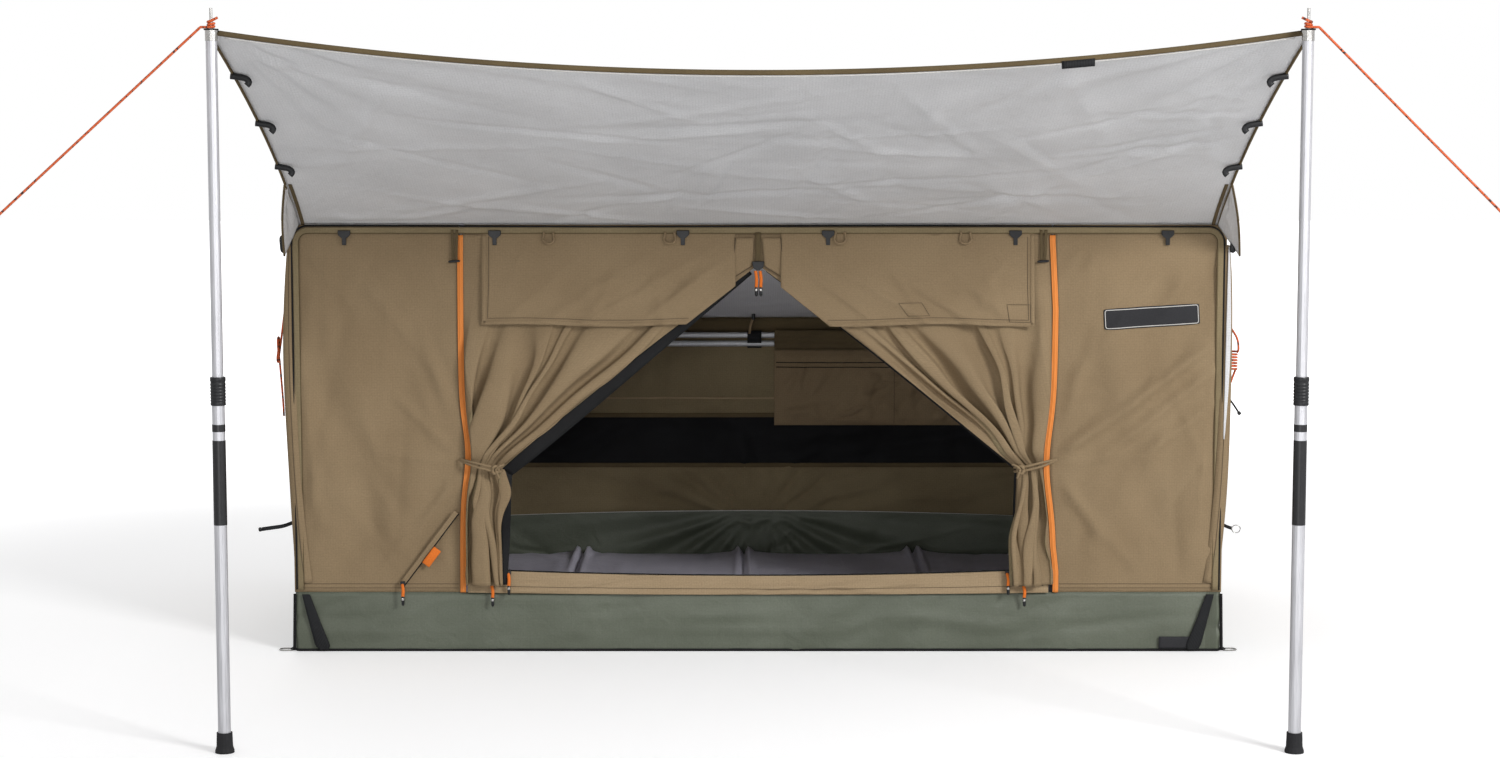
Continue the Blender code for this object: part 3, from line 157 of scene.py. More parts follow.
def cloth_material(name, dark, light, roughness, thread=0.0012, ripstop=0.0, crumple=0.3, line_tone=0.9,
                   shine=0.15, crumple_size=0.04):
    """Woven cloth on a map in metres: a thread weave, ripstop lines, uneven dye and small crumples.

    thread is the drawn thread spacing and ripstop the spacing of the heavier lines, both in metres.
    """
    material, shader = start_material(name, roughness, shine=shine)
    place = put(material, "UVMap")["UV"]
    dye = put(material, "TexNoise", {"Vector": place, "Scale": 5.0, "Detail": 4.0})
    colour = tone(material, dye["Fac"], 0.3, 0.7, dark, light)
    fleck = put(material, "TexNoise", {"Vector": place, "Scale": 1 / 0.004, "Detail": 2.0})
    weave = put(material, "TexBrick", {"Vector": place, "Scale": 1 / (thread * 2), "Mortar Size": 0.12,
                                       "Mortar Smooth": 0.6, **SQUARES}, **IN_LINE)
    value = put(material, "MapRange", {"Value": fleck["Fac"], "From Min": 0.25, "From Max": 0.75,
                                       "To Min": 0.90, "To Max": 1.08})["Result"]
    height = put(material, "Math", {0: weave["Fac"], 1: -0.25}, operation="MULTIPLY")["Value"]
    if ripstop:
        lines = put(material, "TexBrick", {"Vector": place, "Scale": 1 / ripstop, "Mortar Size": 0.07,
                                           "Mortar Smooth": 0.5, **SQUARES}, **IN_LINE)["Fac"]
        darker = put(material, "MapRange", {"Value": lines, "To Min": 1.0, "To Max": line_tone})["Result"]
        value = put(material, "Math", {0: value, 1: darker}, operation="MULTIPLY")["Value"]
        height = put(material, "Math", {0: lines, 1: 0.5, 2: height}, operation="MULTIPLY_ADD")["Value"]
    mixed = put(material, "Mix", {"Factor": 1.0, "A": colour, "B": value}, data_type="RGBA",
                blend_type="MULTIPLY")
    link(material, mixed["Result"], shader["Base Color"])
    soft = put(material, "TexNoise", {"Vector": place, "Scale": 1 / crumple_size, "Detail": 3.0,
                                      "Distortion": 0.6})
    rough = put(material, "Bump", {"Height": soft["Fac"], "Strength": crumple, "Distance": 0.006})
    fine = put(material, "Bump", {"Height": height, "Strength": 0.35, "Distance": 0.0006,
                                  "Normal": rough["Normal"]})
    link(material, fine["Normal"], shader["Normal"])
    return material


def ribbed_material(name, dark, light, pitch, roughness):
    """Tape or webbing on a map in metres: ribs across it at a pitch, with painted shade that darkens it between the
    ribs.
    """
    material, shader = start_material(name, roughness, shine=0.2)
    ribs = put(material, "TexWave", {"Vector": put(material, "UVMap")["UV"],
                                     "Scale": 1 / pitch * math.tau / 20, "Distortion": 0.0})["Fac"]
    link(material, tone(material, ribs, 0.0, 0.7, dark, light), shader["Base Color"])
    lift = put(material, "Bump", {"Height": ribs, "Strength": 0.5, "Distance": 0.0008})
    link(material, lift["Normal"], shader["Normal"])
    return material


def speckled_material(name, dark, light, grain, roughness, metallic=0.0, bump=0.15, scratch=1.0, shine=0.5):
    """A moulded, cast or drawn surface on object places: a fine grain in colour, roughness and relief."""
    material, shader = start_material(name, roughness, metallic, shine)
    place = put(material, "TexCoord")["Object"]
    spread = put(material, "Mapping", {"Vector": place, "Scale": (1, 1, scratch)})["Vector"]
    noise = put(material, "TexNoise", {"Vector": spread, "Scale": 1 / grain, "Detail": 3.0})["Fac"]
    link(material, tone(material, noise, 0.3, 0.7, dark, light), shader["Base Color"])
    rough = put(material, "MapRange", {"Value": noise, "From Min": 0.3, "From Max": 0.7,
                                       "To Min": roughness - 0.06, "To Max": roughness + 0.06})
    link(material, rough["Result"], shader["Roughness"])
    lift = put(material, "Bump", {"Height": noise, "Strength": bump, "Distance": 0.0004})
    link(material, lift["Normal"], shader["Normal"])
    return material


def rope_material(name, strand, marker_size):
    """Braided polypropylene cord, 16 strands: orange, with dark marker strands that wind both ways."""
    material, shader = start_material(name, 0.65)
    turned = put(material, "Mapping", {"Vector": put(material, "UVMap")["UV"],
                                       "Rotation": (0, 0, math.radians(45))})["Vector"]
    strands = put(material, "TexChecker", {"Vector": turned, "Scale": 1 / strand,
                                           "Color1": linear("#BE4C1E"), "Color2": linear("#D5622C")})
    marker = put(material, "TexNoise", {"Vector": turned, "Scale": 1 / marker_size, "Detail": 1.0})
    dark = put(material, "MapRange", {"Value": marker["Fac"], "From Min": 0.58, "From Max": 0.62})
    mixed = put(material, "Mix", {"Factor": dark["Result"], "A": strands["Color"], "B": linear("#3C1D12")},
                data_type="RGBA")
    link(material, mixed["Result"], shader["Base Color"])
    lift = put(material, "Bump", {"Height": strands["Fac"], "Strength": 0.5, "Distance": 0.0006})
    link(material, lift["Normal"], shader["Normal"])
    return material


# Cotton-polyester ripstop canvas, dyed khaki: matt, with a faint square grid and uneven dye
canvas = cloth_material("khaki_ripstop_canvas", "#847157", "#8D7A5F", 0.88, ripstop=0.006)
# The same canvas painted lighter: painted light on the door's step, which faces up to the lamps. It is also the
# colour of the thin pale seam line inside the back wall
lit_sill_canvas = cloth_material("khaki_canvas_painted_light", "#978367", "#A08C70", 0.88, ripstop=0.006)
# The same canvas where it is cut or folded into trim: a little darker. It also colours the band of painted shade at
# the top of the back wall's inside
canvas_trim = cloth_material("khaki_canvas_binding", "#544834", "#66583F", 0.88, crumple=0.2)
# Cotton tape folded over a raw edge and stitched: black, matt
canvas_black = cloth_material("black_binding_tape", "#151516", "#212122", 0.8, 0.0015, crumple=0.1)
# The canvas's inner face: the same weave, a little duller
canvas_inside = cloth_material("khaki_canvas_inside", "#7B6D53", "#887A5E", 0.9, ripstop=0.006)
# Spun polyester sewing thread, darker than the cloth or pale, drawn thick enough to show: matt
thread = speckled_material("brown_sewing_thread", "#46392A", "#574835", 0.002, 0.8)
pale_thread = speckled_material("pale_grey_thread", "#BDBBB6", "#D2D0CB", 0.002, 0.7)
# Tightly woven polyester, charcoal, sewn on as a plain patch: smooth and nearly matt
patch_cloth = cloth_material("charcoal_woven_patch", "#2B2B2D", "#37373A", 0.75, 0.001, crumple=0.05)
# Polyester coated with PVC, olive green: smoother and a little glossy, with soft creases
floor_pvc = cloth_material("olive_coated_floor_cloth", "#565B4E", "#62675A", 0.5, 0.0015, ripstop=0.008,
                           crumple=0.5, line_tone=0.96, shine=0.35, crumple_size=0.05)
# Polyurethane coating filled with aluminium flake, on the underside of the canvas: matt silver
silver = cloth_material("silver_coated_canvas", "#CACACB", "#D6D6D7", 0.55, ripstop=0.006, line_tone=0.88,
                        shine=0.3)
# The same coating under the roof, painted paler: painted light, since the ceiling faces away from the lamps
lit_silver_lining = cloth_material("silver_roof_lining_painted_light", "#E0E0E2", "#E9E9EB", 0.5, ripstop=0.006, crumple=0.2,
                               line_tone=0.86, shine=0.3)
# Knitted polyester insect mesh: near black, with its holes drawn as a grid, coarse enough to show
insect_mesh = cloth_material("black_insect_mesh", "#131314", "#1D1D1F", 0.8, 0.0016, ripstop=0.0032,
                             crumple=0.1, line_tone=1.6)
# Nylon-covered foam, slate lilac, slightly shiny where it is creased
mattress_skin = cloth_material("slate_mattress_cover", "#ACA9B6", "#BEBBC8", 0.42, crumple=0.4, shine=0.5,
                               crumple_size=0.03)
# Woven polypropylene webbing: black, ribbed across
webbing = ribbed_material("black_woven_webbing", "#0E0E0F", "#242527", 0.003, 0.7)
# Moulded coil zip on polyester tape: bright orange, its teeth drawn 3 mm apart so that they show
zip_tape = ribbed_material("orange_zip_tape", "#BE6A2A", "#EA9149", 0.003, 0.6)
# Woven polyester tag cloth, orange: nearly matt
orange_cloth = cloth_material("orange_cloth_tag", "#D26A26", "#E57F35", 0.75, crumple=0.2)
# Drawn aluminium tube, clear anodised or as it left the mill: pale and satin, scratched along its length
pole_tube = speckled_material("satin_anodised_tube", "#B6B6BA", "#C8C8CC", 0.004, 0.42, 0.6, 0.05, 0.05)
frame_tube = speckled_material("mill_drawn_aluminium", "#C6C7C9", "#D2D3D6", 0.006, 0.42, 0.75, 0.01, 0.2)
# Zinc-plated steel wire and pins: brighter, with a fine spangle
plated_steel = speckled_material("zinc_plated_steel", "#9C9B99", "#BDBBB8", 0.003, 0.28, 1.0, 0.1)
# Injection-moulded nylon and rubber, black: a fine moulded grain, the rubber duller
nylon = speckled_material("black_moulded_nylon", "#141416", "#212224", 0.002, 0.42, 0.0, 0.2, shine=0.3)
rubber = speckled_material("black_moulded_rubber", "#1A1A1C", "#262628", 0.002, 0.75, 0.0, 0.3, shine=0.25)
# Vinyl film wrapped round the tube, black: smooth, with a soft gloss
vinyl = speckled_material("black_vinyl_band", "#161618", "#212123", 0.003, 0.35, 0.0, 0.05, shine=0.4)
# Braided cord: its strands drawn 2.2 mm wide so that they show, a marker about every 6 mm
rope_cord = rope_material("orange_braided_cord", 0.0022, 0.006)


# Mesh making
def spots(*parts):
    """Points from their coordinates, each spread to one common shape."""
    return np.stack(np.broadcast_arrays(*parts), axis=-1)


def at_front(x, z, proud=0.0):
    """Points on the front wall's plane, or so far in front of it."""
    return spots(x, FRONT_Y - proud, z)


def quads(rows, columns, around=False):
    """Corner numbers of the quads between the points of a grid; around joins the last column to the first."""
    index = np.arange(rows * columns).reshape(rows, columns)
    if around:
        index = np.concatenate([index, index[:, :1]], axis=1)
    corners = [index[:-1, :-1], index[:-1, 1:], index[1:, 1:], index[1:, :-1]]
    return np.stack(corners, axis=-1).reshape(-1, 4)


def closed_faces(rows, sides):
    """Faces of a grid that joins round, with a fan at each end to the two points that follow the grid's."""
    ring = np.arange(sides)
    after = np.roll(ring, -1)
    middle = np.full(sides, rows * sides)
    last = (rows - 1) * sides
    return np.concatenate([
        quads(rows, sides, around=True),
        np.stack([after, ring, middle, middle], axis=-1),
        np.stack([ring + last, after + last, middle + 1, middle + 1], axis=-1),
    ])


def outward(points, faces):
    """The faces, turned round if the closed body they make has a negative volume."""
    volume = 0.0
    for corners in (points[faces[:, :3]], points[faces[:, [0, 2, 3]]]):
        volume += np.einsum("ij,ij->i", corners[:, 0], np.cross(corners[:, 1], corners[:, 2])).sum()
    return faces if volume >= 0 else faces[:, ::-1]


def run_along(path):
    """Distances along a path to each of its points, for a map in metres."""
    return np.concatenate([[0], np.linalg.norm(np.diff(path, axis=0), axis=-1).cumsum()])


def make_piece(name, points, faces, skins, uv=None, skin_of=None, body="tent", smooth=True):
    """A mesh piece from points and quads (a triangle repeats its last corner), riding on a body."""
    mesh = bpy.data.meshes.new(name)
    plain = [tuple(dict.fromkeys(face)) for face in outward(points, faces).tolist()]
    mesh.from_pydata(points.tolist(), [], plain)
    for skin in skins:
        mesh.materials.append(skin)
    if skin_of is not None:
        mesh.polygons.foreach_set("material_index", np.asarray(skin_of, dtype=np.int32))
    if uv is not None:
        corner = np.empty(len(mesh.loops), dtype=np.int32)
        mesh.loops.foreach_get("vertex_index", corner)
        mesh.uv_layers.new(name="UVMap").data.foreach_set("uv", uv[corner].ravel())
    mesh.polygons.foreach_set("use_smooth", np.full(len(mesh.polygons), smooth))
    mesh.update()
    piece = add_object(name, mesh)
    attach(piece, body)
    return piece


def make_cloth(name, grid, thick=CANVAS_THICK, out=FRONT, skins=(canvas, canvas_inside), body="tent",
               patch=None):
    """A sheet: the grid is its outer face, and its inner face lies a thickness inside, along the normals.

    A normal is the cross product of the grid's two directions, turned to agree with out. skins are the outer
    and the inner face's materials, and patch, if given, is the rows and columns of quads that wear the last.
    """
    rows, columns = grid.shape[:2]
    normal = np.cross(np.gradient(grid, axis=1), np.gradient(grid, axis=0))
    normal = normal / np.maximum(np.linalg.norm(normal, axis=-1, keepdims=True), 1e-9)
    if (normal * np.asarray(out)).sum() < 0:
        normal = -normal
    count = rows * columns
    points = np.concatenate([grid.reshape(-1, 3), (grid - normal * thick).reshape(-1, 3)])
    face = quads(rows, columns)
    edge = np.concatenate([
        np.arange(columns),
        np.arange(1, rows) * columns + columns - 1,
        (rows - 1) * columns + np.arange(columns - 2, -1, -1),
        np.arange(rows - 2, 0, -1) * columns,
    ])
    after = np.roll(edge, -1)
    rim = np.stack([edge, after, after + count, edge + count], axis=-1)[:, ::-1]
    faces = np.concatenate([face, face[:, ::-1] + count, rim])
    skin_of = np.zeros(len(faces), dtype=np.int32)
    skin_of[len(face):2 * len(face)] = min(1, len(skins) - 1)
    if patch is not None:
        worn = np.zeros((rows - 1, columns - 1), dtype=bool)
        worn[patch] = True
        skin_of[:2 * len(face)][np.tile(worn.ravel(), 2)] = len(skins) - 1
    across, down = run_along(grid[rows // 2]), run_along(grid[:, columns // 2])
    uv = spots(across[None], down[:, None]).reshape(-1, 2)
    return make_piece(name, points, faces, skins, np.concatenate([uv, uv]), skin_of, body)


def make_tube(name, path, radius, skin, up=BACK, sides=8, body="tent", flat=1.0):
    """A round cord or pipe along a path, closed at both ends.

    Each ring lies across the path's direction, turned from one fixed up vector; flat below 1 presses it
    along that vector.
    """
    path, lift = np.asarray(path, dtype=float), np.asarray(up, dtype=float)
    along = np.gradient(path, axis=0)
    along /= np.linalg.norm(along, axis=1, keepdims=True)
    side = np.cross(along, lift)
    side /= np.linalg.norm(side, axis=1, keepdims=True)
    angle = (np.arange(sides) / sides * math.tau)[None, :, None]
    ring = side[:, None] * np.cos(angle) + np.cross(side, along)[:, None] * np.sin(angle)
    stout = np.broadcast_to(np.asarray(radius, dtype=float), (len(path),))
    rings = path[:, None] + ring * stout[:, None, None]
    if flat != 1.0:
        rings = rings - ((rings - path[:, None]) @ lift)[..., None] * lift * (1 - flat)
    points = np.concatenate([rings.reshape(-1, 3), path[[0, -1]]])
    run = run_along(path)
    girth = math.tau * float(np.mean(radius))
    around = np.abs(np.linspace(-1, 1, sides, endpoint=False)) * girth / 2
    uv = np.concatenate([spots(around[None], run[:, None]).reshape(-1, 2), [[0, 0], [0, run[-1]]]])
    return make_piece(name, points, closed_faces(len(path), sides), [skin], uv, body=body)


def make_slab(name, shape, x, z, proud, thick, body="tent", soften=0.0012):
    """A moulded plate at a place on the front: an outline thickened forwards, each face a fan from its middle."""
    shape = np.asarray(shape)
    outline = at_front(x + shape[:, 0], z + shape[:, 1], proud)
    count = len(outline)
    forward = np.array([0, thick, 0])
    middle = outline.mean(axis=0)
    points = np.concatenate([outline, outline - forward, [middle, middle - forward]])
    index = np.arange(count)
    after = np.roll(index, -1)
    centre = np.full(count, 2 * count)
    faces = np.concatenate([
        np.stack([index, after, after + count, index + count], axis=-1),
        np.stack([after, index, centre, centre], axis=-1),
        np.stack([index + count, after + count, centre + 1, centre + 1], axis=-1),
    ])
    piece = make_piece(name, points, faces, [nylon], body=body, smooth=False)
    bevel = piece.modifiers.new("soft_edge", "BEVEL")
    bevel.width = soften
    bevel.segments = 2
    bevel.limit_method = "ANGLE"
    return piece


def make_band(name, path, across, width, thick, skin=webbing, out=FRONT, body="tent"):
    """A flat tape: each point of a path, spread both ways along a direction by half the width there."""
    path = np.asarray(path, dtype=float)
    across = np.broadcast_to(np.asarray(across, dtype=float), path.shape)
    width = np.broadcast_to(np.asarray(width, dtype=float), (len(path),))
    share = np.linspace(-0.5, 0.5, 5)[None, :, None]
    grid = path[:, None] + across[:, None] * width[:, None, None] * share
    return make_cloth(name, grid, thick, out, (skin,), body)


def make_capsule(name, start, end, radius, skin=nylon, body="tent", flat=1.0):
    """A rod with rounded ends: its radius falls off as a fifth power of the distance from its middle."""
    start, end = np.asarray(start, dtype=float), np.asarray(end, dtype=float)
    share = (1 - np.cos(np.linspace(0, 1, 21) * math.pi)) / 2
    girth = radius * np.sqrt(np.maximum(0.003, 1 - np.abs(2 * share - 1) ** 5))
    return make_tube(name, start + (end - start) * share[:, None], girth, skin, sides=14, body=body, flat=flat)


def make_ring(name, profile, centre, skin, sides=32, body="tent", crisp=False):
    """A closed profile of (radius, height) pairs carried round an upright axis, which it doesn't touch."""
    radius, height = np.asarray([*profile, profile[0]], dtype=float).T[..., None]
    angle = np.arange(sides) / sides * math.tau
    rings = spots(radius * np.cos(angle) + centre[0], radius * np.sin(angle) + centre[1], centre[2] + height)
    faces = quads(len(rings), sides, around=True) % (len(profile) * sides)
    piece = make_piece(name, rings[:-1].reshape(-1, 3), faces, [skin], body=body)
    if crisp:
        piece.data.set_sharp_from_angle(angle=math.radians(35))
    return piece


def smooth_path(route, step):
    """Points at an even step along a Catmull-Rom curve through the route's own points."""
    knots = np.asarray(route, dtype=float)
    knots = np.concatenate([[2 * knots[0] - knots[1]], knots, [2 * knots[-1] - knots[-2]]])
    dense = []
    for before, start, end, after in zip(knots, knots[1:], knots[2:], knots[3:]):
        parts = max(1, round(float(np.linalg.norm(end - start)) / step))
        t = (np.arange(parts) / parts)[:, None]
        bend = (end - before) * t + (before * 2 - start * 5 + end * 4 - after) * t**2
        dense.append(start + (bend + (start * 3 - before - end * 3 + after) * t**3) / 2)
    return np.concatenate([*dense, knots[-2:-1]])


def wall_grid(x, z, rows, columns, y=FRONT_Y):
    """A flat upright grid between two lengths and two heights, at one depth, with its rows from the top down."""
    across, fall = np.linspace(0, 1, columns)[None], np.linspace(1, 0, rows)[:, None]
    return spots(x[0] + (x[1] - x[0]) * across, y, z[0] + (z[1] - z[0]) * fall)


def edge_fade(rows, columns, share=0.12):
    """1 in the middle of a grid and 0 at its edges, by a smooth step over a share of each side."""
    def fade(count):
        place = np.minimum(np.linspace(0, 1, count), np.linspace(1, 0, count)) / share
        place = np.clip(place, 0, 1)
        return place * place * (3 - 2 * place)
    return fade(rows)[:, None] * fade(columns)[None, :]


def creases(a, b, seed, count, amount, spread, width, lean=0.0, scatter=0.6):
    """Soft creases over coordinates a and b, in metres: a sum of long narrow humps.

    Each hump is a normal curve across its line and a wider normal curve along it; lines lean about one angle.
    """
    chance = np.random.default_rng(seed)
    total = np.zeros_like(a)
    low_a, high_a, low_b, high_b = a.min(), a.max(), b.min(), b.max()
    for _ in range(count):
        middle_a = chance.uniform(low_a, high_a)
        middle_b = chance.uniform(low_b, high_b)
        angle = lean + chance.normal(0, scatter)
        size = chance.uniform(0.5, 1.4) * spread
        thin = chance.uniform(0.6, 1.5) * width
        away = (a - middle_a) * math.sin(angle) - (b - middle_b) * math.cos(angle)
        reach = (a - middle_a) * math.cos(angle) + (b - middle_b) * math.sin(angle)
        hump = np.exp(-((away / thin) ** 2)) * np.exp(-((reach / size) ** 2))
        total += chance.uniform(-1, 1) * hump
    return total * amount


def fold_lines(a, b, lines):
    """Named folds: each is a normal curve of the distance from a segment, and fades at the segment's ends."""
    total = np.zeros_like(a)
    for start_a, start_b, end_a, end_b, width, depth in lines:
        run_a, run_b = end_a - start_a, end_b - start_b
        along = ((a - start_a) * run_a + (b - start_b) * run_b) / (run_a**2 + run_b**2)
        held = np.clip(along, 0, 1)
        away = np.hypot(a - start_a - held * run_a, b - start_b - held * run_b)
        fade = np.clip(np.minimum(along + 0.15, 1.15 - along) / 0.3, 0, 1)
        total += depth * np.exp(-((away / width) ** 2)) * fade
    return total


def crumple_down(*pieces, keep=0.1):
    """Gives each piece its own copy of its mesh."""
    for piece in pieces:
        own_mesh(piece)


def drop_awning(*pieces):
    """Gives each of the awning's pieces its own copy of its mesh."""
    for piece in pieces:
        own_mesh(piece)


def make_sheet(name, grid, nodes, flat, held="stretched", rests_on=(), keep=0.1, **cloth):
    """A cloth in place of its solids, which it hides. flat, the flat size it was cut to, is not used."""
    sheet = make_cloth(name, grid, **cloth)
    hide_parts(*nodes)
    crumple_down(sheet, keep=keep)


def make_seam(name, path, skin=thread, radius=0.0006):
    """A line of stitches: a thin round thread on the cloth."""
    crumple_down(make_tube(name, path, radius, skin, sides=6))


# Cords
KNOT_GAP = 0.0004
KNOT_RADIUS = 0.003 + KNOT_GAP + ROPE / 2
KNOT_LOW = TAB_TOP + KNOT_GAP + ROPE / 2
GUY_ENDS = {"left": (-1.50, 1.01), "right": (1.475, 1.00)}
EYE_RADIUS = 0.012
LIMP_BEND = 0.010
HANK_RADIUS = 0.020
HANK_TURNS = 6
TURN_POINTS = 24
SPARE_LEFT_HEAD = (
    (-1.098, -0.430, 0.8497), (-1.1045, -0.430, 0.820), (-1.1105, -0.430, 0.785), (-1.1155, -0.430, 0.750),
    (-1.1195, -0.430, 0.720), (-1.1225, -0.430, 0.700),
)
SPARE_LEFT_FOOT = (
    (-1.1190, -0.470, 0.700), (-1.1165, -0.4665, 0.670), (-1.1145, -0.460, 0.625), (-1.1128, -0.4535, 0.580),
    (-1.1120, -0.450, 0.545),
)
HANK_TAIL = (
    (0, 0, 0), (0, 0.012, -0.003), (-0.004, 0.020, -0.018), (-0.012, 0.014, -0.036),
    (-0.022, 0.004, -0.044), (-0.031, -0.004, -0.034), (-0.034, -0.006, -0.018),
)
SPARE_RIGHT = (
    (-0.0275, 0.022, 0.1537), (-0.0275, 0.022, 0.118), (-0.021, 0.012, 0.070), (-0.004, -0.012, 0.034),
    (0, -0.015, 0.010), (0, -0.005, 0), (0, 0, 0),
)


def make_cord(node, path, up):
    """A rope along a path, in place of its solid, which it hides."""
    cord = make_tube(f"{node}_cord", path, ROPE / 2, rope_cord, up, sides=10)
    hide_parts(node)
    return cord


def make_guy(side, name):
    """A straight rope that ends in an open eye, and its knot round the spike.

    The eye is 285 degrees of a circle in the rope's own upright plane. The knot is a helix of two turns, with
    the lead from the rope before it and a short tail.
    """
    end_x, end_z = GUY_ENDS[name]
    edge = np.array([side * (POLE_X + 0.014 + ROPE), POLE_Y - KNOT_RADIUS, KNOT_LOW])
    end = np.array([end_x, POLE_Y - KNOT_RADIUS, end_z])
    aim = (end - edge) / np.linalg.norm(end - edge)
    start = edge + aim * (ROPE * 2 + GAP)
    up = np.cross(FRONT, aim)
    angle = (np.arange(1, 25) / 24 * math.radians(285) - math.pi / 2)[:, None]
    eye = end + up * EYE_RADIUS + (aim * np.cos(angle) + up * np.sin(angle)) * EYE_RADIUS
    straight = start + (end - start) * np.linspace(0, 1, 60)[:, None]
    make_cord(f"guy_rope_{name}", np.concatenate([straight, eye]), BACK)
    lead = smooth_path([edge + aim * ROPE * 2, edge + aim * ROPE, edge], ROPE / 2)
    step = np.arange(2 * TURN_POINTS + 1) / TURN_POINTS
    turns = spots(side * (POLE_X - KNOT_RADIUS * np.sin(step * math.tau)),
                  POLE_Y - KNOT_RADIUS * np.cos(step * math.tau), KNOT_LOW + 0.0056 * step)
    tail = turns[-1] + np.array([-side * 0.014, 0, 0.007])
    path = np.concatenate([lead[:-1], [edge], turns, [(turns[-1] + tail) / 2, tail]])
    make_cord(f"guy_knot_{name}", path, (0, 0.2, 0.98))


def make_spare_ropes():
    """The left spare rope hangs in one bight, of two half circles; the right one is a helix of six turns."""
    turn = np.linspace(0, math.pi, 9)[:, None]
    aside, upwards = np.cos(turn) * [0, LIMP_BEND, 0], np.sin(turn) * [0, 0, LIMP_BEND]
    under, over = aside - upwards + [-1.1252, -0.440, 0.681], aside + upwards + [-1.1200, -0.460, 0.721]
    left = smooth_path([*SPARE_LEFT_HEAD, *under, *over, *SPARE_LEFT_FOOT], LIMP_BEND * 0.4)
    crumple_down(make_cord("spare_rope_left", left, RIGHT))
    centre = np.array([HALF_LENGTH + GAP + ROPE / 2 + HANK_RADIUS, -0.44, 0.696])
    step = np.arange(HANK_TURNS * TURN_POINTS + 1) / TURN_POINTS
    turns = centre + spots(HANK_RADIUS * np.cos(step * math.tau), HANK_RADIUS * np.sin(step * math.tau),
                           -0.0068 * step)
    lead = np.array([turns[0] + [0, -ROPE, 0], turns[0] + [0, -ROPE / 2, 0]])
    tail = smooth_path(turns[-1] + np.array(HANK_TAIL), ROPE / 2)
    hank = np.concatenate([lead, turns, tail[1:]])
    crumple_down(make_cord("spare_hank", hank, (0, 0.25, 0.97)))
    right = smooth_path(lead[0] - np.array([0, GAP, 0]) + np.array(SPARE_RIGHT), 0.003)
    crumple_down(make_cord("spare_rope_right", right, RIGHT))


for side, name in SIDES:
    make_guy(side, name)
make_spare_ropes()


# Tub floor
TUB_CLOTH = 0.0025
TUB_CORNER = 0.012
TUB_ROWS = 15


def make_tub():
    """The floor tray: a rounded rectangle's edge carried up a wall profile, closed above and below.

    The walls belly out by a sine of their height and carry soft creases that lean from the corners.
    """
    arc = (np.arange(6) + 0.5) / 6 * math.pi / 2
    corners = ((1, -1), (1, 1), (-1, 1), (-1, -1))
    edge = []
    for number, (here, there) in enumerate(zip(corners, corners[1:] + corners[:1])):
        angle = arc + math.pi / 2 * (number - 1)
        edge.append(spots(here[0] * (HALF_LENGTH - TUB_CORNER) + TUB_CORNER * np.cos(angle),
                          here[1] * (HALF_DEPTH - TUB_CORNER) + TUB_CORNER * np.sin(angle)))
        moves = np.not_equal(here, there)
        start, end = edge[-1][-1], np.array(there) * [HALF_LENGTH, HALF_DEPTH]
        reach = np.abs(end - start).max()
        parts = 90 if moves[0] else 45
        share = (np.arange(1, parts) / parts)[:, None]
        edge.append(start + (end - start) / reach * moves * (reach - TUB_CORNER) * share)
    edge = np.concatenate(edge)
    normal = np.gradient(np.concatenate([edge[-1:], edge, edge[:1]]), axis=0)[1:-1, ::-1] * [1, -1]
    normal /= np.linalg.norm(normal, axis=1, keepdims=True)
    along, up = np.meshgrid(run_along(edge), np.linspace(0, 1, TUB_ROWS))
    belly = 0.004 * np.sin(math.pi * up)
    folds = creases(along, up * TUB_TOP, 3, 110, 0.012, 0.07, 0.008, lean=0.9, scatter=0.5)
    folds += creases(along, up * TUB_TOP, 4, 50, 0.007, 0.16, 0.012, lean=0.0, scatter=0.15)
    wall = edge[None] + normal[None] * (belly + folds * np.sin(math.pi * up) ** 0.5)[..., None]
    lining = wall - normal[None] * TUB_CLOTH
    outer = spots(wall[..., 0], wall[..., 1], up * TUB_TOP)
    inner = spots(lining[..., 0], lining[..., 1], up * TUB_TOP)[::-1]
    inner[-1, :, 2] = TUB_CLOTH
    points = np.concatenate([outer.reshape(-1, 3), inner.reshape(-1, 3), [[0, 0, 0], [0, 0, TUB_CLOTH]]])
    flat = spots(along, up * TUB_TOP).reshape(-1, 2)
    uv = np.concatenate([flat, flat[::-1], [[0, 0], [0, 0]]])
    tub = make_piece("tub_floor_tray", points, closed_faces(2 * TUB_ROWS, len(edge)), [floor_pvc], uv)
    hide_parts("tub")
    foot = np.concatenate([edge, edge[:1]])
    make_tube("tub_foot_piping", spots(foot[:, 0], foot[:, 1], 0.0035), 0.0032, canvas_black, UP)


make_tub()

# Walls
# Folds of the front panels: where each starts and ends, across and up, then its width and depth
TIE_PULLS = (
    (0.695, 0.455, 0.84, 0.60, 0.010, 0.008), (0.695, 0.44, 0.88, 0.47, 0.012, 0.006),
    (0.700, 0.42, 0.80, 0.26, 0.010, 0.009), (0.700, 0.40, 0.90, 0.17, 0.012, 0.007),
    (0.700, 0.52, 0.78, 0.76, 0.012, 0.007), (0.700, 0.60, 0.92, 0.88, 0.014, 0.007),
    (1.050, 0.95, 0.93, 0.80, 0.014, 0.008), (1.060, 0.70, 1.02, 0.30, 0.012, 0.009),
)
RIGHT_FOLDS = (
    (1.04, 0.715, 0.72, 0.475, 0.013, 0.016), (1.05, 0.66, 0.80, 0.46, 0.012, 0.011),
    (1.05, 0.58, 0.86, 0.44, 0.014, 0.010),
)
MESH_TOP = 0.442
MESH_LOW = 0.305


def zip_sway(z, side):
    """How far an upright zip strays outwards: a normal curve's dip at the door tie, and ramps at its ends."""
    if side < 0:
        return -0.013 * np.exp(-(((z - 0.465) / 0.09) ** 2))
    dip = -0.0165 * np.exp(-(((z - 0.44) / 0.115) ** 2))
    return dip + 0.006 * np.clip((0.25 - z) / 0.06, 0, 1) - 0.009 * np.clip((z - 0.80) / 0.16, 0, 1)


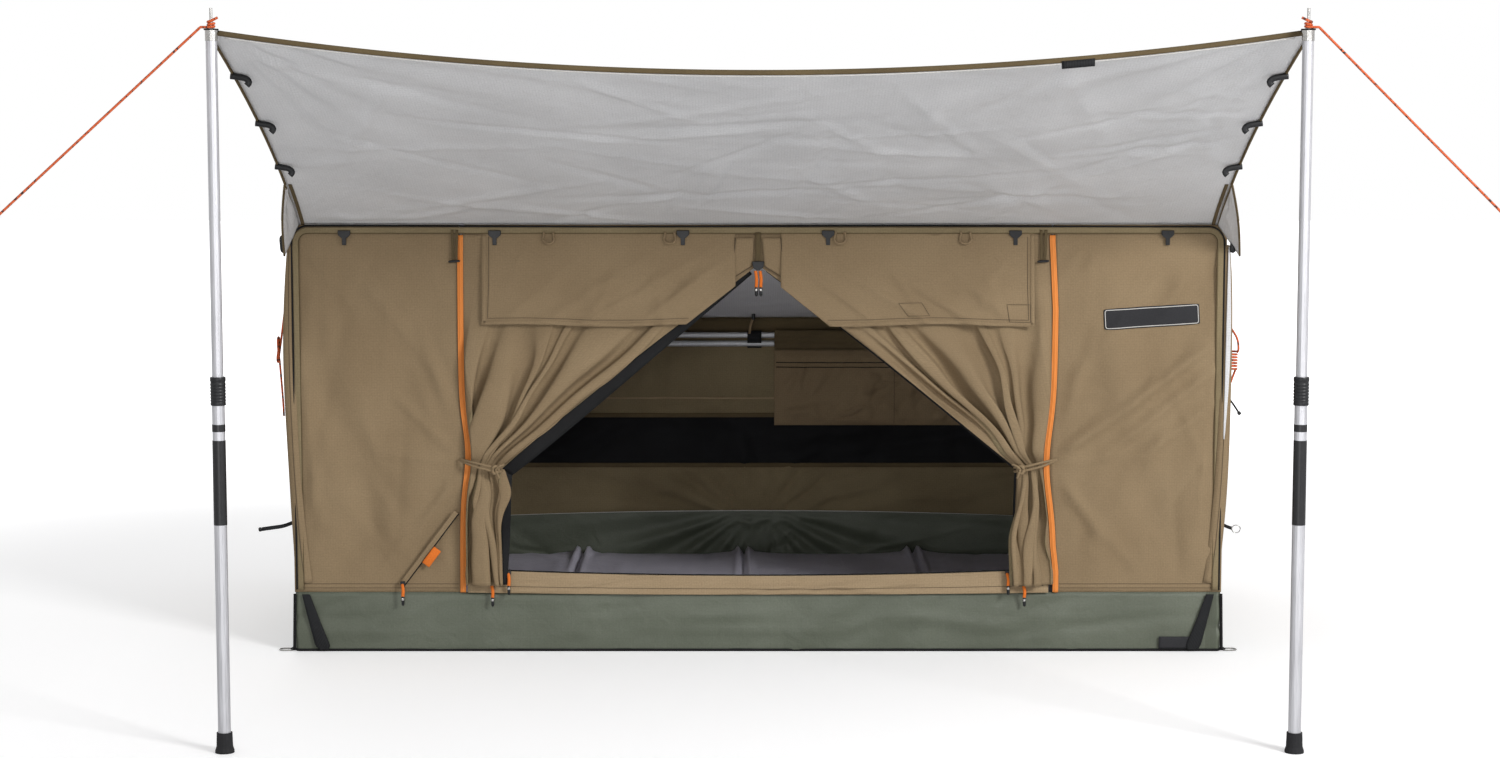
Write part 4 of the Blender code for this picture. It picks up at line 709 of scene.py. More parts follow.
def depth_on(grid, x, z):
    """Depths of an upright grid's surface at places on it, weighed from the four points round each place."""
    rows, columns = grid.shape[:2]
    row = np.clip((z - grid[0, 0, 2]) / (grid[-1, 0, 2] - grid[0, 0, 2]) * (rows - 1), 0, rows - 1.001)
    column = (x - grid[0, 0, 0]) / (grid[0, -1, 0] - grid[0, 0, 0]) * (columns - 1)
    column = np.clip(column, 0, columns - 1.001)
    top, left = row.astype(int), column.astype(int)
    down, over = row - top, column - left
    upper = grid[top, left, 1] * (1 - over) + grid[top, left + 1, 1] * over
    lower = grid[top + 1, left, 1] * (1 - over) + grid[top + 1, left + 1, 1] * over
    return upper * (1 - down) + lower * down


def make_front_panels():
    """Canvas beside the door: bellied forward, with creases leaning in from the frame's corners.

    Gives the right panel's surface, before it strays with the zip, for the patch to lie on.
    """
    for side, name in SIDES:
        grid = wall_grid((side * (ZIP_X + 0.004), side * HALF_LENGTH), (WALL_FOOT, FRONT_TOP - 0.004), 90, 46)
        x, z = grid[..., 0], grid[..., 2]
        wave = creases(x, z, 11 + side, 46, 0.004, 0.16, 0.013, side * 1.15, 0.5)
        wave += creases(x, z, 21 + side, 14, 0.008, 0.25, 0.035, 1.5, 0.3)
        wave += fold_lines(np.abs(x), z, TIE_PULLS) * 0.7
        if side > 0:
            wave += fold_lines(x, z, RIGHT_FOLDS)
        grid[..., 1] -= (0.005 + wave) * edge_fade(90, 46)
        surface = grid.copy()
        near = np.exp((ZIP_X - np.abs(x)) / 0.03)
        grid[..., 0] += side * zip_sway(z, side) * near
        make_sheet(f"front_panel_{name}_cloth", grid, [f"front_panel_{name}"], (0.39, 0.86))
        for number, row in enumerate((-3, -2), 1):
            make_seam(f"panel_foot_seam_{number}_{name}", grid[row, 1:-1] + [0, -0.0004, 0])
    return surface


def make_front_header():
    """Canvas above the door, creased from the rim towards the door's head."""
    grid = wall_grid((-DOOR_HALF, DOOR_HALF), (DOOR_TOP + GAP, FRONT_TOP - 0.004), 16, 120)
    wave = creases(grid[..., 0], grid[..., 2], 31, 40, 0.003, 0.06, 0.010, 1.4, 0.4)
    grid[..., 1] -= (0.0015 + np.abs(wave)) * edge_fade(16, 120, 0.1)
    make_sheet("front_header_cloth", grid, ["front_header"], (1.352, 0.096))


def make_front_zips():
    """Upright zips: a tape with a raised row of teeth along its middle, which strays with the cloth."""
    for side, name in SIDES:
        z = np.linspace(WALL_FOOT, 0.972, 120)
        sway = 0.0008 * np.sin((z - TUB_TOP) * 9 + side) + side * zip_sway(z, side)
        share = np.linspace(-1, 1, 9)
        across = side * (ZIP_X + 0.001) + share[None] * 0.0067 + sway[:, None]
        lift = np.where(np.abs(share) < 0.3, 0.0022, 0.0008)
        grid = spots(across, FRONT_Y - 0.0012 - lift - 0.003, z[:, None])
        tape = make_cloth(f"front_zip_{name}_tape", grid, skins=(zip_tape,))
        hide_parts(f"front_zip_{name}")
        crumple_down(tape)


def roof_top(y, below=0.0):
    """Heights of the roof's slope, or so far below it: a straight line from the front rail to the rear one."""
    return FRONT_TOP - below - (FRONT_TOP - BACK_TOP) * (y + HALF_DEPTH) / (2 * HALF_DEPTH)


def make_end_walls():
    """The two ends: a grid whose top follows the roof's slope, bellied and creased."""
    rows, columns = 70, 80
    for side, name in SIDES:
        y = -0.5217 + 1.0434 * np.linspace(0, 1, columns)[None]
        z = WALL_FOOT + (roof_top(y, 0.0036) - TUB_TOP - GAP) * np.linspace(1, 0, rows)[:, None]
        y = np.broadcast_to(y, z.shape)
        wave = creases(y, z, 41 + side, 60, 0.008, 0.18, 0.016, 0.9, 0.7)
        x = side * (HALF_LENGTH + (0.006 + wave) * edge_fade(rows, columns))
        make_sheet(f"end_wall_{name}_cloth", spots(x, y, z), [f"end_wall_{name}"], (1.046, 0.86),
                   rests_on=[f"front_leg_{name}"], out=(side, 0, 0))


def make_rear_wall():
    """The back: canvas with a band of insect mesh across it, a tape seam along each edge of the band.

    Folds fan out from low in the middle as a cosine of the angle there, and lie down at the seams.
    """
    rows, columns = 84, 160
    z = np.concatenate([np.linspace(0.7082, MESH_TOP, 38), np.linspace(0.437, 0.309, 18),
                        np.linspace(MESH_LOW, WALL_FOOT, 28)])
    x, z = np.meshgrid(np.linspace(-HALF_LENGTH, HALF_LENGTH, columns), z)
    wave = creases(x, z, 51, 90, 0.012, 0.16, 0.012, 0.4, 0.8)
    wave = wave + creases(x, z, 52, 20, 0.010, 0.4, 0.03, 0.1, 0.2)
    angle = np.arctan2(z - 0.13, x)
    wave = wave + 0.014 * np.cos(angle * 20) * np.exp(-((x / 0.5) ** 2)) * np.exp(-(((z - 0.24) / 0.07) ** 2))
    for height in (MESH_TOP, MESH_LOW):
        wave = wave * (1 - 0.8 * np.exp(-(((z - height) / 0.014) ** 2)))
    wave = np.clip(wave, -0.011 + 0.008 * np.clip((z - 0.60) / 0.05, 0, 1), 0.014)
    grid = spots(x, HALF_DEPTH + (0.003 + wave) * edge_fade(rows, columns, 0.08), z)
    make_sheet("rear_wall_cloth", grid, ["rear_wall", "rear_window"], (2.16, 0.57), rests_on=["rear_rails"],
               out=BACK, skins=(canvas, canvas_inside, insect_mesh),
               patch=(slice(38, 56), slice(5, columns - 6)))
    bands = ((MESH_TOP, 0.006, 38, canvas_trim), (MESH_LOW, 0.006, 56, canvas_trim),
             (0.489, 0.0022, 31, lit_sill_canvas))
    for number, (height, tall, row, skin) in enumerate(bands, 1):
        follow = grid[row, :, 1] - HALF_DEPTH
        for face, y, out in (("inner", HALF_DEPTH - 0.0045, FRONT), ("outer", HALF_DEPTH + 0.0012, BACK)):
            band = wall_grid((-1.012, 1.012), (height - tall, height + tall), 4, 120, y)
            band[..., 1] += np.interp(band[0, :, 0], grid[row, :, 0], follow)[None]
            crumple_down(make_cloth(f"rear_seam_{face}_{number}", band, 0.0012, out, (skin,)))
    # A darker band across the inside top of the back wall, above the rails: painted shade under the roof
    join = wall_grid((-1.075, 1.075), (0.670, 0.7072), 4, 120, HALF_DEPTH - 0.0042)
    crumple_down(make_cloth("rear_roof_shade_band", join, 0.0012, skins=(canvas_trim,)))


def make_roof():
    """The roof: canvas outside and silver inside, bellied between the front and rear rails."""
    rows, columns = 60, 120
    x, y = np.meshgrid(np.linspace(-HALF_LENGTH, HALF_LENGTH, columns),
                       np.linspace(-HALF_DEPTH, HALF_DEPTH, rows))
    wave = creases(x, y, 61, 70, 0.008, 0.2, 0.016, 0.2, 0.9)
    z = roof_top(y) - (0.004 - wave * 0.6) * edge_fade(rows, columns, 0.1)
    # The silver inside is the paler lining: painted light on the ceiling
    make_sheet("roof_cloth", spots(x, y, z), ["roof"], (2.16, 1.09), rests_on=["front_rail", "rear_rails"],
               out=UP, skins=(canvas, lit_silver_lining))


right_panel = make_front_panels()
make_front_header()
make_front_zips()
make_end_walls()
make_rear_wall()
make_roof()

# Door
MOST_SWING = 2.1
FLAP_CUT = 0.682
FLAP_FOLDS = 6
FLAP_COLUMNS = 216
FLAP_TOP = 0.974
FLAP_LOW = 0.1605
FLAP_REACH = 0.040
STORM_TOP = 0.978
STORM_LOW = 0.765
# Folds of the rain flaps, given as the front panels' are
RAIN_FOLDS = (
    (0.09, 0.95, 0.40, 0.77, 0.011, 0.008), (0.20, 0.96, 0.50, 0.77, 0.014, 0.007),
    (0.06, 0.93, 0.26, 0.78, 0.010, 0.008), (0.36, 0.97, 0.58, 0.78, 0.016, 0.005),
    (0.62, 0.96, 0.52, 0.86, 0.012, 0.005),
)
# Stitched boxes on the right rain flap: the lower inner corner and the upper outer one
RAIN_BOXES = ((0.335, 0.785, 0.385, 0.815), (0.575, 0.775, 0.625, 0.812))


def flap_edge(z):
    """Distances of the tied-back door's free edge from the middle."""
    upper = 0.004 + (TIE_X - 0.004) * np.maximum(0, DOOR_TOP - z) / (DOOR_TOP - TIE_Z)
    lower = TIE_X + (FOOT_X - TIE_X) * (TIE_Z - z) / (TIE_Z - 0.16)
    return np.where(z >= TIE_Z, upper, lower)


def swing_for(span):
    """How far a fold's direction has to swing for the cut width to fill a span, and the length that gives.

    The share of its length that cloth spans is the mean cosine of its direction, read from a table of swings.
    """
    swings = np.linspace(0, MOST_SWING, 211)
    turn = (np.arange(64) + 0.5) / 64 * math.pi
    spans = np.cos(swings[:, None] * np.cos(turn)[None]).mean(axis=1)
    swing = np.interp(-(span / FLAP_CUT), -spans, swings)
    return swing, span / np.interp(swing, swings, spans)


def make_door_flaps():
    """Each half of the door, tied back, with its whole cut width folded into the width that is left.

    A fold is a sine-generated curve: the cloth's direction swings as a cosine of the distance along it, as
    wide as makes the cloth span what is there, and its places are running sums of the cosine and the sine.
    How far it stands out has its best quintic taken off, and is held within a reach by a tanh.
    """
    z = np.concatenate([np.linspace(FLAP_TOP, TIE_Z, 84), np.linspace(TIE_Z, FLAP_LOW, 38)[1:]])
    height, share = z[:, None], np.linspace(0, 1, FLAP_COLUMNS)[None]
    for side, name in SIDES:
        outer = ZIP_X - 0.003 + zip_sway(z, side)
        span = (outer - flap_edge(z))[:, None]
        swing, length = swing_for(span)
        drift = 0.30 * np.sin(math.tau * (1.3 * share + 0.9 * height) + side)
        drift = drift + 0.16 * np.sin(math.tau * (3.1 * share - 1.7 * height) + 2 * side)
        size = 1 + 0.28 * np.sin(math.tau * (2.3 * share + 0.3) + side)
        way = swing * size * np.cos(math.tau * (FLAP_FOLDS * share + drift))
        across = np.cumsum(np.cos(way), axis=1)
        across = (across - across[:, :1]) / (across[:, -1:] - across[:, :1])
        across = np.maximum(np.clip(share / 0.03, 0, 1) * 0.0075 / span, across)
        out = np.cumsum(np.sin(way), axis=1) * length / FLAP_COLUMNS
        powers = share ** np.arange(6)[:, None]
        out = out - out @ np.linalg.pinv(powers) @ powers
        out = (out - out.min(axis=1, keepdims=True)) * np.clip(share / 0.06, 0, 1)
        out = FLAP_REACH * np.tanh(out / FLAP_REACH)
        bulge = 0.012 * np.sin(np.clip((height - TIE_Z) / (DOOR_TOP - TIE_Z), 0, 1) * math.pi)
        x = outer[:, None] - span * across + bulge * share**3
        waist = np.exp(-(((height - TIE_Z) / 0.03) ** 2))
        belly = 0.006 * np.clip((TIE_Z - height) / 0.08, 0, 1) * np.sin(math.pi * share)
        clear = 0.0033 * np.clip((0.216 - height) / 0.03, 0, 1) + 0.0012
        under = 0.34 + 0.66 * np.clip((0.785 - height) / 0.11, 0, 1)
        grid = spots(side * x, FRONT_Y - clear - out * (1 - 0.5 * waist) * under - belly, height)
        make_sheet(f"door_flap_{name}_cloth", grid, [f"door_flap_{name}"], (FLAP_CUT, FLAP_TOP - FLAP_LOW),
                   held="gathered", keep=0.08, thick=0.0009)
        make_door_edge(side, name, grid)


def make_door_edge(side, name, grid):
    """The black zip tape sewn behind the door's free edge, standing a little past it by a sine's hump."""
    edge = grid[grid[:, 0, 2] < DOOR_TOP - 0.01, -1] + np.array([0, 0.004, 0])
    past = np.where(edge[:, 2:] > TIE_Z, [-side * 0.62, 0, -0.78], [-side, 0, 0.0])
    reach = 0.009 + 0.024 * np.sin(np.linspace(0, 1, len(edge)) * math.pi)
    if side > 0:
        reach = reach * 0.16
    share = np.linspace(0, 1, 5)[None, :, None]
    strip = edge[:, None] + past[:, None] * reach[:, None, None] * share
    strip[..., 1] += 0.004 * share[..., 0]
    crumple_down(make_cloth(f"door_zip_edge_{name}", strip, 0.001, skins=(canvas_black,)), keep=0.08)


def make_storm_flaps():
    """Rain flaps: a sheet whose inner edge follows the door's edge and whose hem lifts in slow waves."""
    fall = np.linspace(0, 1, 44)[:, None]
    share = np.linspace(0, 1, 110)[None]
    proud = np.array([0, -0.0006, 0])
    for side, name in SIDES:
        drop = STORM_TOP - (STORM_TOP - STORM_LOW) * fall
        z = drop - 0.003 * np.sin(share * 7 + side) * fall
        inner = np.maximum(0.052, flap_edge(np.minimum(drop, DOOR_TOP)) - 0.010)
        x = side * (inner + (0.636 - inner) * share)
        wave = np.sin(math.tau * share) ** 2 * 0.003 + np.maximum(0, np.sin(share * 17 + side)) * 0.002
        small = creases(x, z, 81 + side, 30, 0.005, 0.10, 0.012, side * -1.0, 0.5)
        small += fold_lines(np.abs(x), z, RAIN_FOLDS)
        lean = 0.0046 + 0.019 * fall**0.8
        grid = spots(x, FRONT_Y - lean - np.maximum(0, wave + small) * fall, z)
        make_sheet(f"storm_flap_{name}_cloth", grid, [f"storm_flap_{name}"], (0.584, STORM_TOP - STORM_LOW),
                   held="hung", thick=0.0014)
        for hem, part in (("hem", grid[-3:, 1:-1]), ("side_hem", grid[1:-1, -3:])):
            crumple_down(make_cloth(f"storm_{hem}_{name}", part + proud, 0.0008, skins=(canvas,)))
        make_seam(f"storm_seam_{name}", np.concatenate([grid[2:-4, -4], grid[-4, -4::-1][:-3]]) + proud)
    for number, (low_x, low_z, high_x, high_z) in enumerate(RAIN_BOXES, 1):
        corners = [(low_x, low_z), (high_x, low_z), (high_x, high_z), (low_x, high_z), (low_x, low_z)]
        box = np.concatenate([np.linspace(*ends, 8)[:-1] for ends in zip(corners, corners[1:])])
        path = [grid[np.abs(grid[:, 0, 2] - v).argmin(), np.abs(grid[-8, :, 0] - u).argmin()] for u, v in box]
        make_seam(f"storm_patch_seam_{number}", np.array(path + path[:1]) + proud)


def make_door_sill():
    """The step under the door: a canvas band, crowned as a parabola, its top edge bound in black."""
    rows, columns = 14, 110
    grid = wall_grid((-DOOR_HALF, DOOR_HALF), (WALL_FOOT, SILL_TOP), rows, columns)
    share = (grid[..., 2] - TUB_TOP) / (SILL_TOP - TUB_TOP)
    crown = 1 - (grid[..., 0] / DOOR_HALF) ** 2
    grid[..., 2] += (0.008 - 0.015 * crown) * share - 0.005 * crown * (1 - share)
    small = creases(grid[..., 0], grid[..., 2], 91, 70, 0.0065, 0.12, 0.005, 0.05, 0.12)
    grid[..., 1] -= 0.0008 + 0.009 * (1 - share) + np.maximum(0, small) * edge_fade(rows, columns, 0.05)
    # The step's outer face wears the lighter canvas: painted light where it faces up
    sill = make_cloth("door_sill_cloth", grid, skins=(lit_sill_canvas, canvas_inside))
    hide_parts("door_sill")
    make_tube("door_sill_piping", (grid[0] + np.array([0, 0.001, 0.0008]))[2:-2], 0.0018, canvas_black)
    make_tube("door_sill_seam", grid[9, 1:-1] + [0, -0.0004, 0], 0.0006, thread, sides=6)


make_door_flaps()
make_storm_flaps()
make_door_sill()


# Front trim
def rim_route(inset):
    """Up one side of the front, round its rounded corners and across the top, so far inside the edge."""
    turn = 0.038 - inset
    angle = np.linspace(0, math.pi / 2, 12)[1:-1]
    side_x, top_z = 1.074 - inset, 0.9925 - inset
    half = np.concatenate([
        spots(-side_x, np.linspace(TUB_TOP + 0.006, top_z - turn, 60)),
        spots(-side_x + turn - turn * np.cos(angle), top_z - turn + turn * np.sin(angle)),
        spots(np.linspace(-side_x + turn, 0, 60), top_z),
    ])
    route = np.concatenate([half, half[-2::-1] * [-1, 1]])
    return at_front(route[:, 0], route[:, 1])


def make_rim():
    """Black piping round the front, a canvas band inside it and a second, thinner piping."""
    outer = rim_route(0.0) + [0, -0.0045, 0]
    outer[:, 2] += 0.0012 * np.sin(outer[:, 0] * 5)
    piping = make_tube("rim_piping", outer, 0.0021, canvas_black, sides=10)
    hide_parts("rim_tape")
    middle = rim_route(0.009) + [0, -0.0056, 0]
    along = np.gradient(middle, axis=0)
    across = np.cross(along / np.linalg.norm(along, axis=1, keepdims=True), BACK)
    crumple_down(piping, make_band("rim_band", middle, across, 0.013, 0.0012, canvas_inside),
                 make_tube("rim_inner_piping", rim_route(0.0165) + [0, -0.0052, 0], 0.0010, canvas_trim))


def make_rim_toggles():
    """T-shaped toggles, cords in U loops and two folded ties, all sewn under the rim band."""
    half = np.array([(0.0145, 0), (0.0145, -0.010), (0.0075, -0.0165), (0.0048, -0.018), (0.0048, -0.034)])
    shape = np.concatenate([half, half[::-1] * [-1, 1]])
    for number, x in enumerate((-0.952, -0.606, -0.173, 0.161, 0.592, 0.942), 1):
        crumple_down(make_slab(f"rim_toggle_{number}", shape, x, 0.983, 0.0062, 0.005))
    turn = np.linspace(0, math.pi, 15)
    for number, x in enumerate((-0.482, -0.203, 0.189, 0.477), 1):
        bend = spots(x - 0.013 * np.cos(turn), FRONT_Y - 0.011 - 0.005 * np.sin(turn),
                     0.963 - 0.010 * np.sin(turn))
        path = [at_front(x - 0.010, 0.979, 0.007), *bend, at_front(x + 0.010, 0.979, 0.007)]
        crumple_down(make_tube(f"rim_loop_{number}", smooth_path(path, 0.003), 0.0030, canvas))
    for number, x in enumerate((-0.698, 0.6565), 1):
        for lane, shift in (("a", -0.0055), ("b", 0.0055)):
            path = np.linspace(at_front(x + shift, 0.984, 0.0085), at_front(x + shift * 0.7, 0.913, 0.011), 12)
            crumple_down(make_band(f"door_tie_strap_{number}_{lane}", path, RIGHT, 0.006, 0.001, canvas_trim))
        crumple_down(make_capsule(f"door_tie_bar_{number}", at_front(x - 0.015, 0.911, 0.012),
                                  at_front(x + 0.013, 0.913, 0.012), 0.003))


def make_apex_trim():
    """The covered end of the middle zip: its fly, and a stitched corner patch each side."""
    fly = np.linspace(at_front(0, 0.978, 0.008), at_front(0, 0.908, 0.009), 10)
    crumple_down(make_band("apex_fly", fly, RIGHT, 0.012, 0.0014, canvas_trim))
    corners = np.array([(0.010, 0.966), (0.052, 0.966), (0.060, 0.872), (0.014, 0.901)])
    top, low = np.linspace(corners[0], corners[1], 10), np.linspace(corners[3], corners[2], 10)
    flat = top[None] + (low - top)[None] * np.linspace(0, 1, 14)[:, None, None]
    for side, name in SIDES:
        grid = at_front(side * flat[..., 0], flat[..., 1], 0.0095)
        crumple_down(make_cloth(f"apex_patch_{name}", grid, 0.0012))
        path = np.concatenate([grid[:, -1], grid[-1, ::-1]]) + [0, -0.0004, 0]
        make_seam(f"apex_seam_{name}", path, radius=0.0009)


# The way of a door's tie, across, up and forwards
TIE_ROUTE = (
    (0.692, 0.452, 0.008), (0.672, 0.448, 0.026), (0.650, 0.443, 0.036), (0.626, 0.437, 0.037),
    (0.606, 0.432, 0.031), (0.594, 0.430, 0.016), (0.597, 0.430, 0.002),
)
KNOT_X = 0.606
KNOT_Z = 0.432


def make_door_ties():
    """A folded canvas cord from beside the zip round each tied door, with a knot and two short tails."""
    for side, name in SIDES:
        for lane, rise in (("upper", 0.0045), ("lower", -0.0045)):
            path = [at_front(side * x, z + rise * min(1, 2.2 * (0.692 - x) / 0.1 + 0.2), proud)
                    for x, z, proud in TIE_ROUTE]
            crumple_down(make_tube(f"door_tie_{lane}_{name}", smooth_path(path, 0.003), 0.0030, canvas),
                         keep=0.08)
        turn = np.linspace(0, math.tau * 1.2, 40)
        knot = spots(side * (KNOT_X + 0.0065 * np.cos(turn)), FRONT_Y - 0.036 - 0.004 * np.sin(turn * 1.5),
                     KNOT_Z + 0.0085 * np.sin(turn))
        crumple_down(make_tube(f"door_tie_knot_{name}", knot, 0.0038, canvas, (0, 0.9, 0.4)), keep=0.08)
        for number, (end_x, end_z) in enumerate(((0.586, 0.444), (0.598, 0.412)), 1):
            half_way = at_front(side * (KNOT_X + end_x) / 2, (KNOT_Z + end_z) / 2 + 0.003, 0.041)
            tail = smooth_path([at_front(side * KNOT_X, KNOT_Z, 0.038), half_way,
                                at_front(side * end_x, end_z, 0.036)], 0.003)
            crumple_down(make_tube(f"door_tie_tail_{number}_{name}", tail, 0.0028, canvas), keep=0.08)


ZIP_SLIDER = ((-0.0055, 0.005), (0.0055, 0.005), (0.0055, -0.003), (0.0025, -0.0065), (-0.0025, -0.0065),
              (-0.0055, -0.003))
APEX_SLIDER = ((-0.014, 0.008), (0.014, 0.008), (0.012, -0.006), (0.004, -0.013), (-0.004, -0.013),
               (-0.012, -0.006))


def make_pull(name, x, z, proud, body, node=None, slider=True, run=0.030, out=0.0):
    """A zip pull: a slider, an orange cord of a given run through its eye, a steel sleeve and a dark tip.

    out is how much further forward the cord's foot hangs than its head. The parts are returned.
    """
    parts = []
    if slider:
        parts.append(make_slab(f"{name}_slider", ZIP_SLIDER, x, z, proud - 0.0045, 0.0055, body, 0.0008))
    lean = 0.0018
    cord = smooth_path([at_front(x - 0.0008, z - 0.002, proud),
                        at_front(x + lean, z - run / 2, proud + 0.0016 + out * 0.7),
                        at_front(x + lean / 2, z - run, proud + out)], 0.002)
    parts.append(make_tube(f"{name}_cord", cord, 0.0037, orange_cloth, sides=10, body=body, flat=0.7))
    foot = cord[-1]
    parts.append(make_capsule(f"{name}_tip", foot + [0, 0, 0.003], foot + [0.0004, 0, -0.021], 0.0036,
                              body=body))
    parts.append(make_capsule(f"{name}_sleeve", foot + [0, 0, -0.002], foot + [0.0002, 0, -0.0095], 0.0040,
                              plated_steel, body))
    if node:
        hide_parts(node)
    return parts


def make_apex_pull():
    """The middle zip's two sliders, fixed at the door's head, and their pulls, which swing together."""
    for name, x, node in (("left", -0.0052, "apex_pull"), ("right", 0.0052, None)):
        parts = make_pull(f"apex_pull_{name}", x, 0.892, 0.0125, "apex_tag", node, slider=False, run=0.040)
        crumple_down(*parts, keep=0.04)
    crumple_down(make_slab("apex_slider", APEX_SLIDER, 0, 0.904, 0.0105, 0.006))


def make_vent():
    """The covered vent zip low on the left panel: a raised fly, a black line along its edge as painted shade in its
    opening, and a bare tag beside it.
    """
    foot, head = at_front(-0.83, 0.158), at_front(-0.70, 0.33)
    path = np.linspace(foot, head, 30) + [0, -0.0135, 0]
    aim = (head - foot) / np.linalg.norm(head - foot)
    across = np.cross(aim, BACK)
    fly = make_band("vent_fly", path, across, 0.013, CANVAS_THICK, canvas)
    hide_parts("vent_zip")
    crumple_down(fly)
    # Painted shade: a black line where the fly's edge stands off the panel
    make_seam("vent_opening_painted_shade", path - across * 0.0066 + [0, -0.0002, 0], canvas_black, 0.0013)
    middle = foot + (head - foot) * 0.45 - across * 0.0165
    along = np.linspace(-0.0235, 0.0235, 16)
    curl = 0.0035 * np.cos(along / 0.0235 * math.pi / 2)
    tag = middle + aim * along[:, None] + np.array(FRONT) * (0.0165 + curl)[:, None]
    crumple_down(make_band("vent_tag", tag, across, 0.020, 0.0016, orange_cloth))


def make_front_patch(panel):
    """A plain charcoal patch with a pale stitched edge, tilted, and laid on the panel's own folds.

    The patch is a rectangle whose corners draw in by the eighth power of both shares; the border is a
    rectangle with round corners.
    """
    tilt = math.radians(3.2)
    half_long, half_high, curve = 0.112, 0.0245, 0.005
    spin = np.array([[math.cos(tilt), math.sin(tilt)], [-math.sin(tilt), math.cos(tilt)]])

    def lay(flat, proud):
        place = flat @ spin + [0.908, 0.784]
        return spots(place[..., 0], depth_on(panel, place[..., 0], place[..., 1]) - proud, place[..., 1])

    down, over = np.meshgrid(np.linspace(1, -1, 22), np.linspace(-1, 1, 90), indexing="ij")
    pull = 0.0018 * (down * over) ** 8
    cloth = lay(spots(over * (half_long - pull), down * (half_high - pull)), 0.0016)
    crumple_down(make_cloth("front_patch", cloth, 0.0014, skins=(patch_cloth,)))
    turn = np.linspace(0, math.pi / 2, 6)
    inset_long, inset_high = half_long - 0.0035 - curve, half_high - 0.0035 - curve
    corners = [spots(cx * inset_long + curve * np.cos(turn + start), cz * inset_high + curve * np.sin(turn + start))
               for cx, cz, start in ((1, 1, 0), (-1, 1, math.pi / 2), (-1, -1, math.pi), (1, -1, math.pi * 1.5))]
    ring = [corners[0]]
    for before, after in zip(corners, [*corners[1:], corners[0][:1]]):
        ring += [np.linspace(before[-1], after[0], 30)[1:-1], after]
    make_seam("front_patch_border", lay(np.concatenate(ring), 0.0024), pale_thread, 0.0010)


make_rim()
make_rim_toggles()
make_apex_trim()
make_door_ties()
for side, name in SIDES:
    body = f"zip_slider_{name}"
    make_pull(f"door_pull_{name}_inner", side * 0.58, 0.188, 0.0135, body, f"door_slider_{name}", out=0.009)
    make_pull(f"door_pull_{name}_outer", side * 0.618, 0.160, 0.0195, body, slider=False)
make_pull("vent_pull", -0.826, 0.163, 0.0175, "zip_slider_vent", "vent_slider", out=0.007)
make_apex_pull()
make_vent()
make_front_patch(right_panel)


# Inside
def make_rear_liner():
    """The floor cloth turned up the back wall: its top edge is a parabola, with folds spreading from its crown."""
    x = np.linspace(-1.06, 1.06, 150)[None]
    top = 0.150 + 0.031 * (1 - (x / 1.06) ** 2)
    fall = np.linspace(0, 1, 40)[:, None]
    z = top + (0.02 - top) * fall
    x = x + np.zeros_like(z)
    wave = creases(x, z, 111, 40, 0.004, 0.2, 0.010, 0.1, 0.3)
    angle = np.arctan2(0.20 - z, x)
    wave += 0.006 * np.cos(angle * 22 + 1.3) * np.exp(-((x / 0.55) ** 2))
    grid = spots(x, 0.5115 - 1.5 * wave * np.sin(math.pi * np.clip(fall, 0.02, 1)), z)
    liner = make_cloth("tub_rear_liner", grid, 0.0012, skins=(floor_pvc,))
    # A pale piping along the liner's top, drawn thickest in the middle where light through the door falls on it: a
    # real piping with a painted highlight
    stout = 0.0005 + 0.0009 * np.exp(-((grid[0, :, 0] / 0.5) ** 2))
    make_tube("tub_rear_piping_highlight", grid[0] + [0, -0.0012, 0.0006], stout, pale_thread)


def make_pockets():
    """The pocket panel on the back wall: bulged cloth, a hem along its top and a seam across and down it."""
    rows, columns = 50, 110
    grid = wall_grid((0.047, 0.62), (0.415, 0.62), rows, columns, 0.5217)
    wave = creases(grid[..., 0], grid[..., 2], 121, 60, 0.011, 0.09, 0.010, 1.0, 0.8)
    grid[..., 1] -= 0.004 + (0.005 + np.abs(wave)) * edge_fade(rows, columns, 0.1)
    make_sheet("pocket_cloth", grid, ["pocket_panel"], (0.573, 0.205), held="hung", thick=0.0016)
    proud = [0, -0.0008, 0]
    for number, row in enumerate((8, 11), 1):
        make_seam(f"pocket_seam_{number}", grid[row, 1:-1] + proud, canvas_black, 0.0012)
    make_seam("pocket_divider", grid[8:-1, 62] + proud)


def make_rail_cover():
    """The cloth sleeve over the rear rails: a band that bows towards the door over each rail."""
    grid = wall_grid((0.047, 0.95), (0.625, 0.677), 16, 120, 0.4838)
    share = (grid[..., 2] - 0.625) / 0.052
    wave = creases(grid[..., 0], grid[..., 2], 131, 24, 0.003, 0.12, 0.008, 0.1, 0.2)
    grid[..., 1] -= 0.004 * np.abs(np.sin(math.tau * share)) + np.maximum(0, wave)
    make_sheet("rail_cover_cloth", grid, ["rail_cover"], (0.903, 0.055), held="hung", thick=0.0016,
               skins=(canvas_trim,))


def make_rail_strap():
    """The strap that holds the rear rails together, its tie up to the roof and that tie's end tab."""
    turn = np.linspace(0, math.tau, 40)
    loop = spots(-0.0067, 0.496 - 0.0125 * np.cos(turn), 0.651 + 0.0235 * np.sin(turn))
    make_band("rail_strap", loop, RIGHT, 0.038, 0.0018, out=(0, 0, 0), body="rear_hoop")
    tie = smooth_path([(-0.020, 0.476, 0.668), (-0.017, 0.470, 0.690), (-0.010, 0.466, 0.712)], 0.004)
    crumple_down(make_band("roof_tie", tie, RIGHT, 0.007, 0.001, canvas),
                 make_capsule("roof_tie_tab", (-0.010, 0.464, 0.706), (-0.009, 0.464, 0.724), 0.005, flat=0.5))


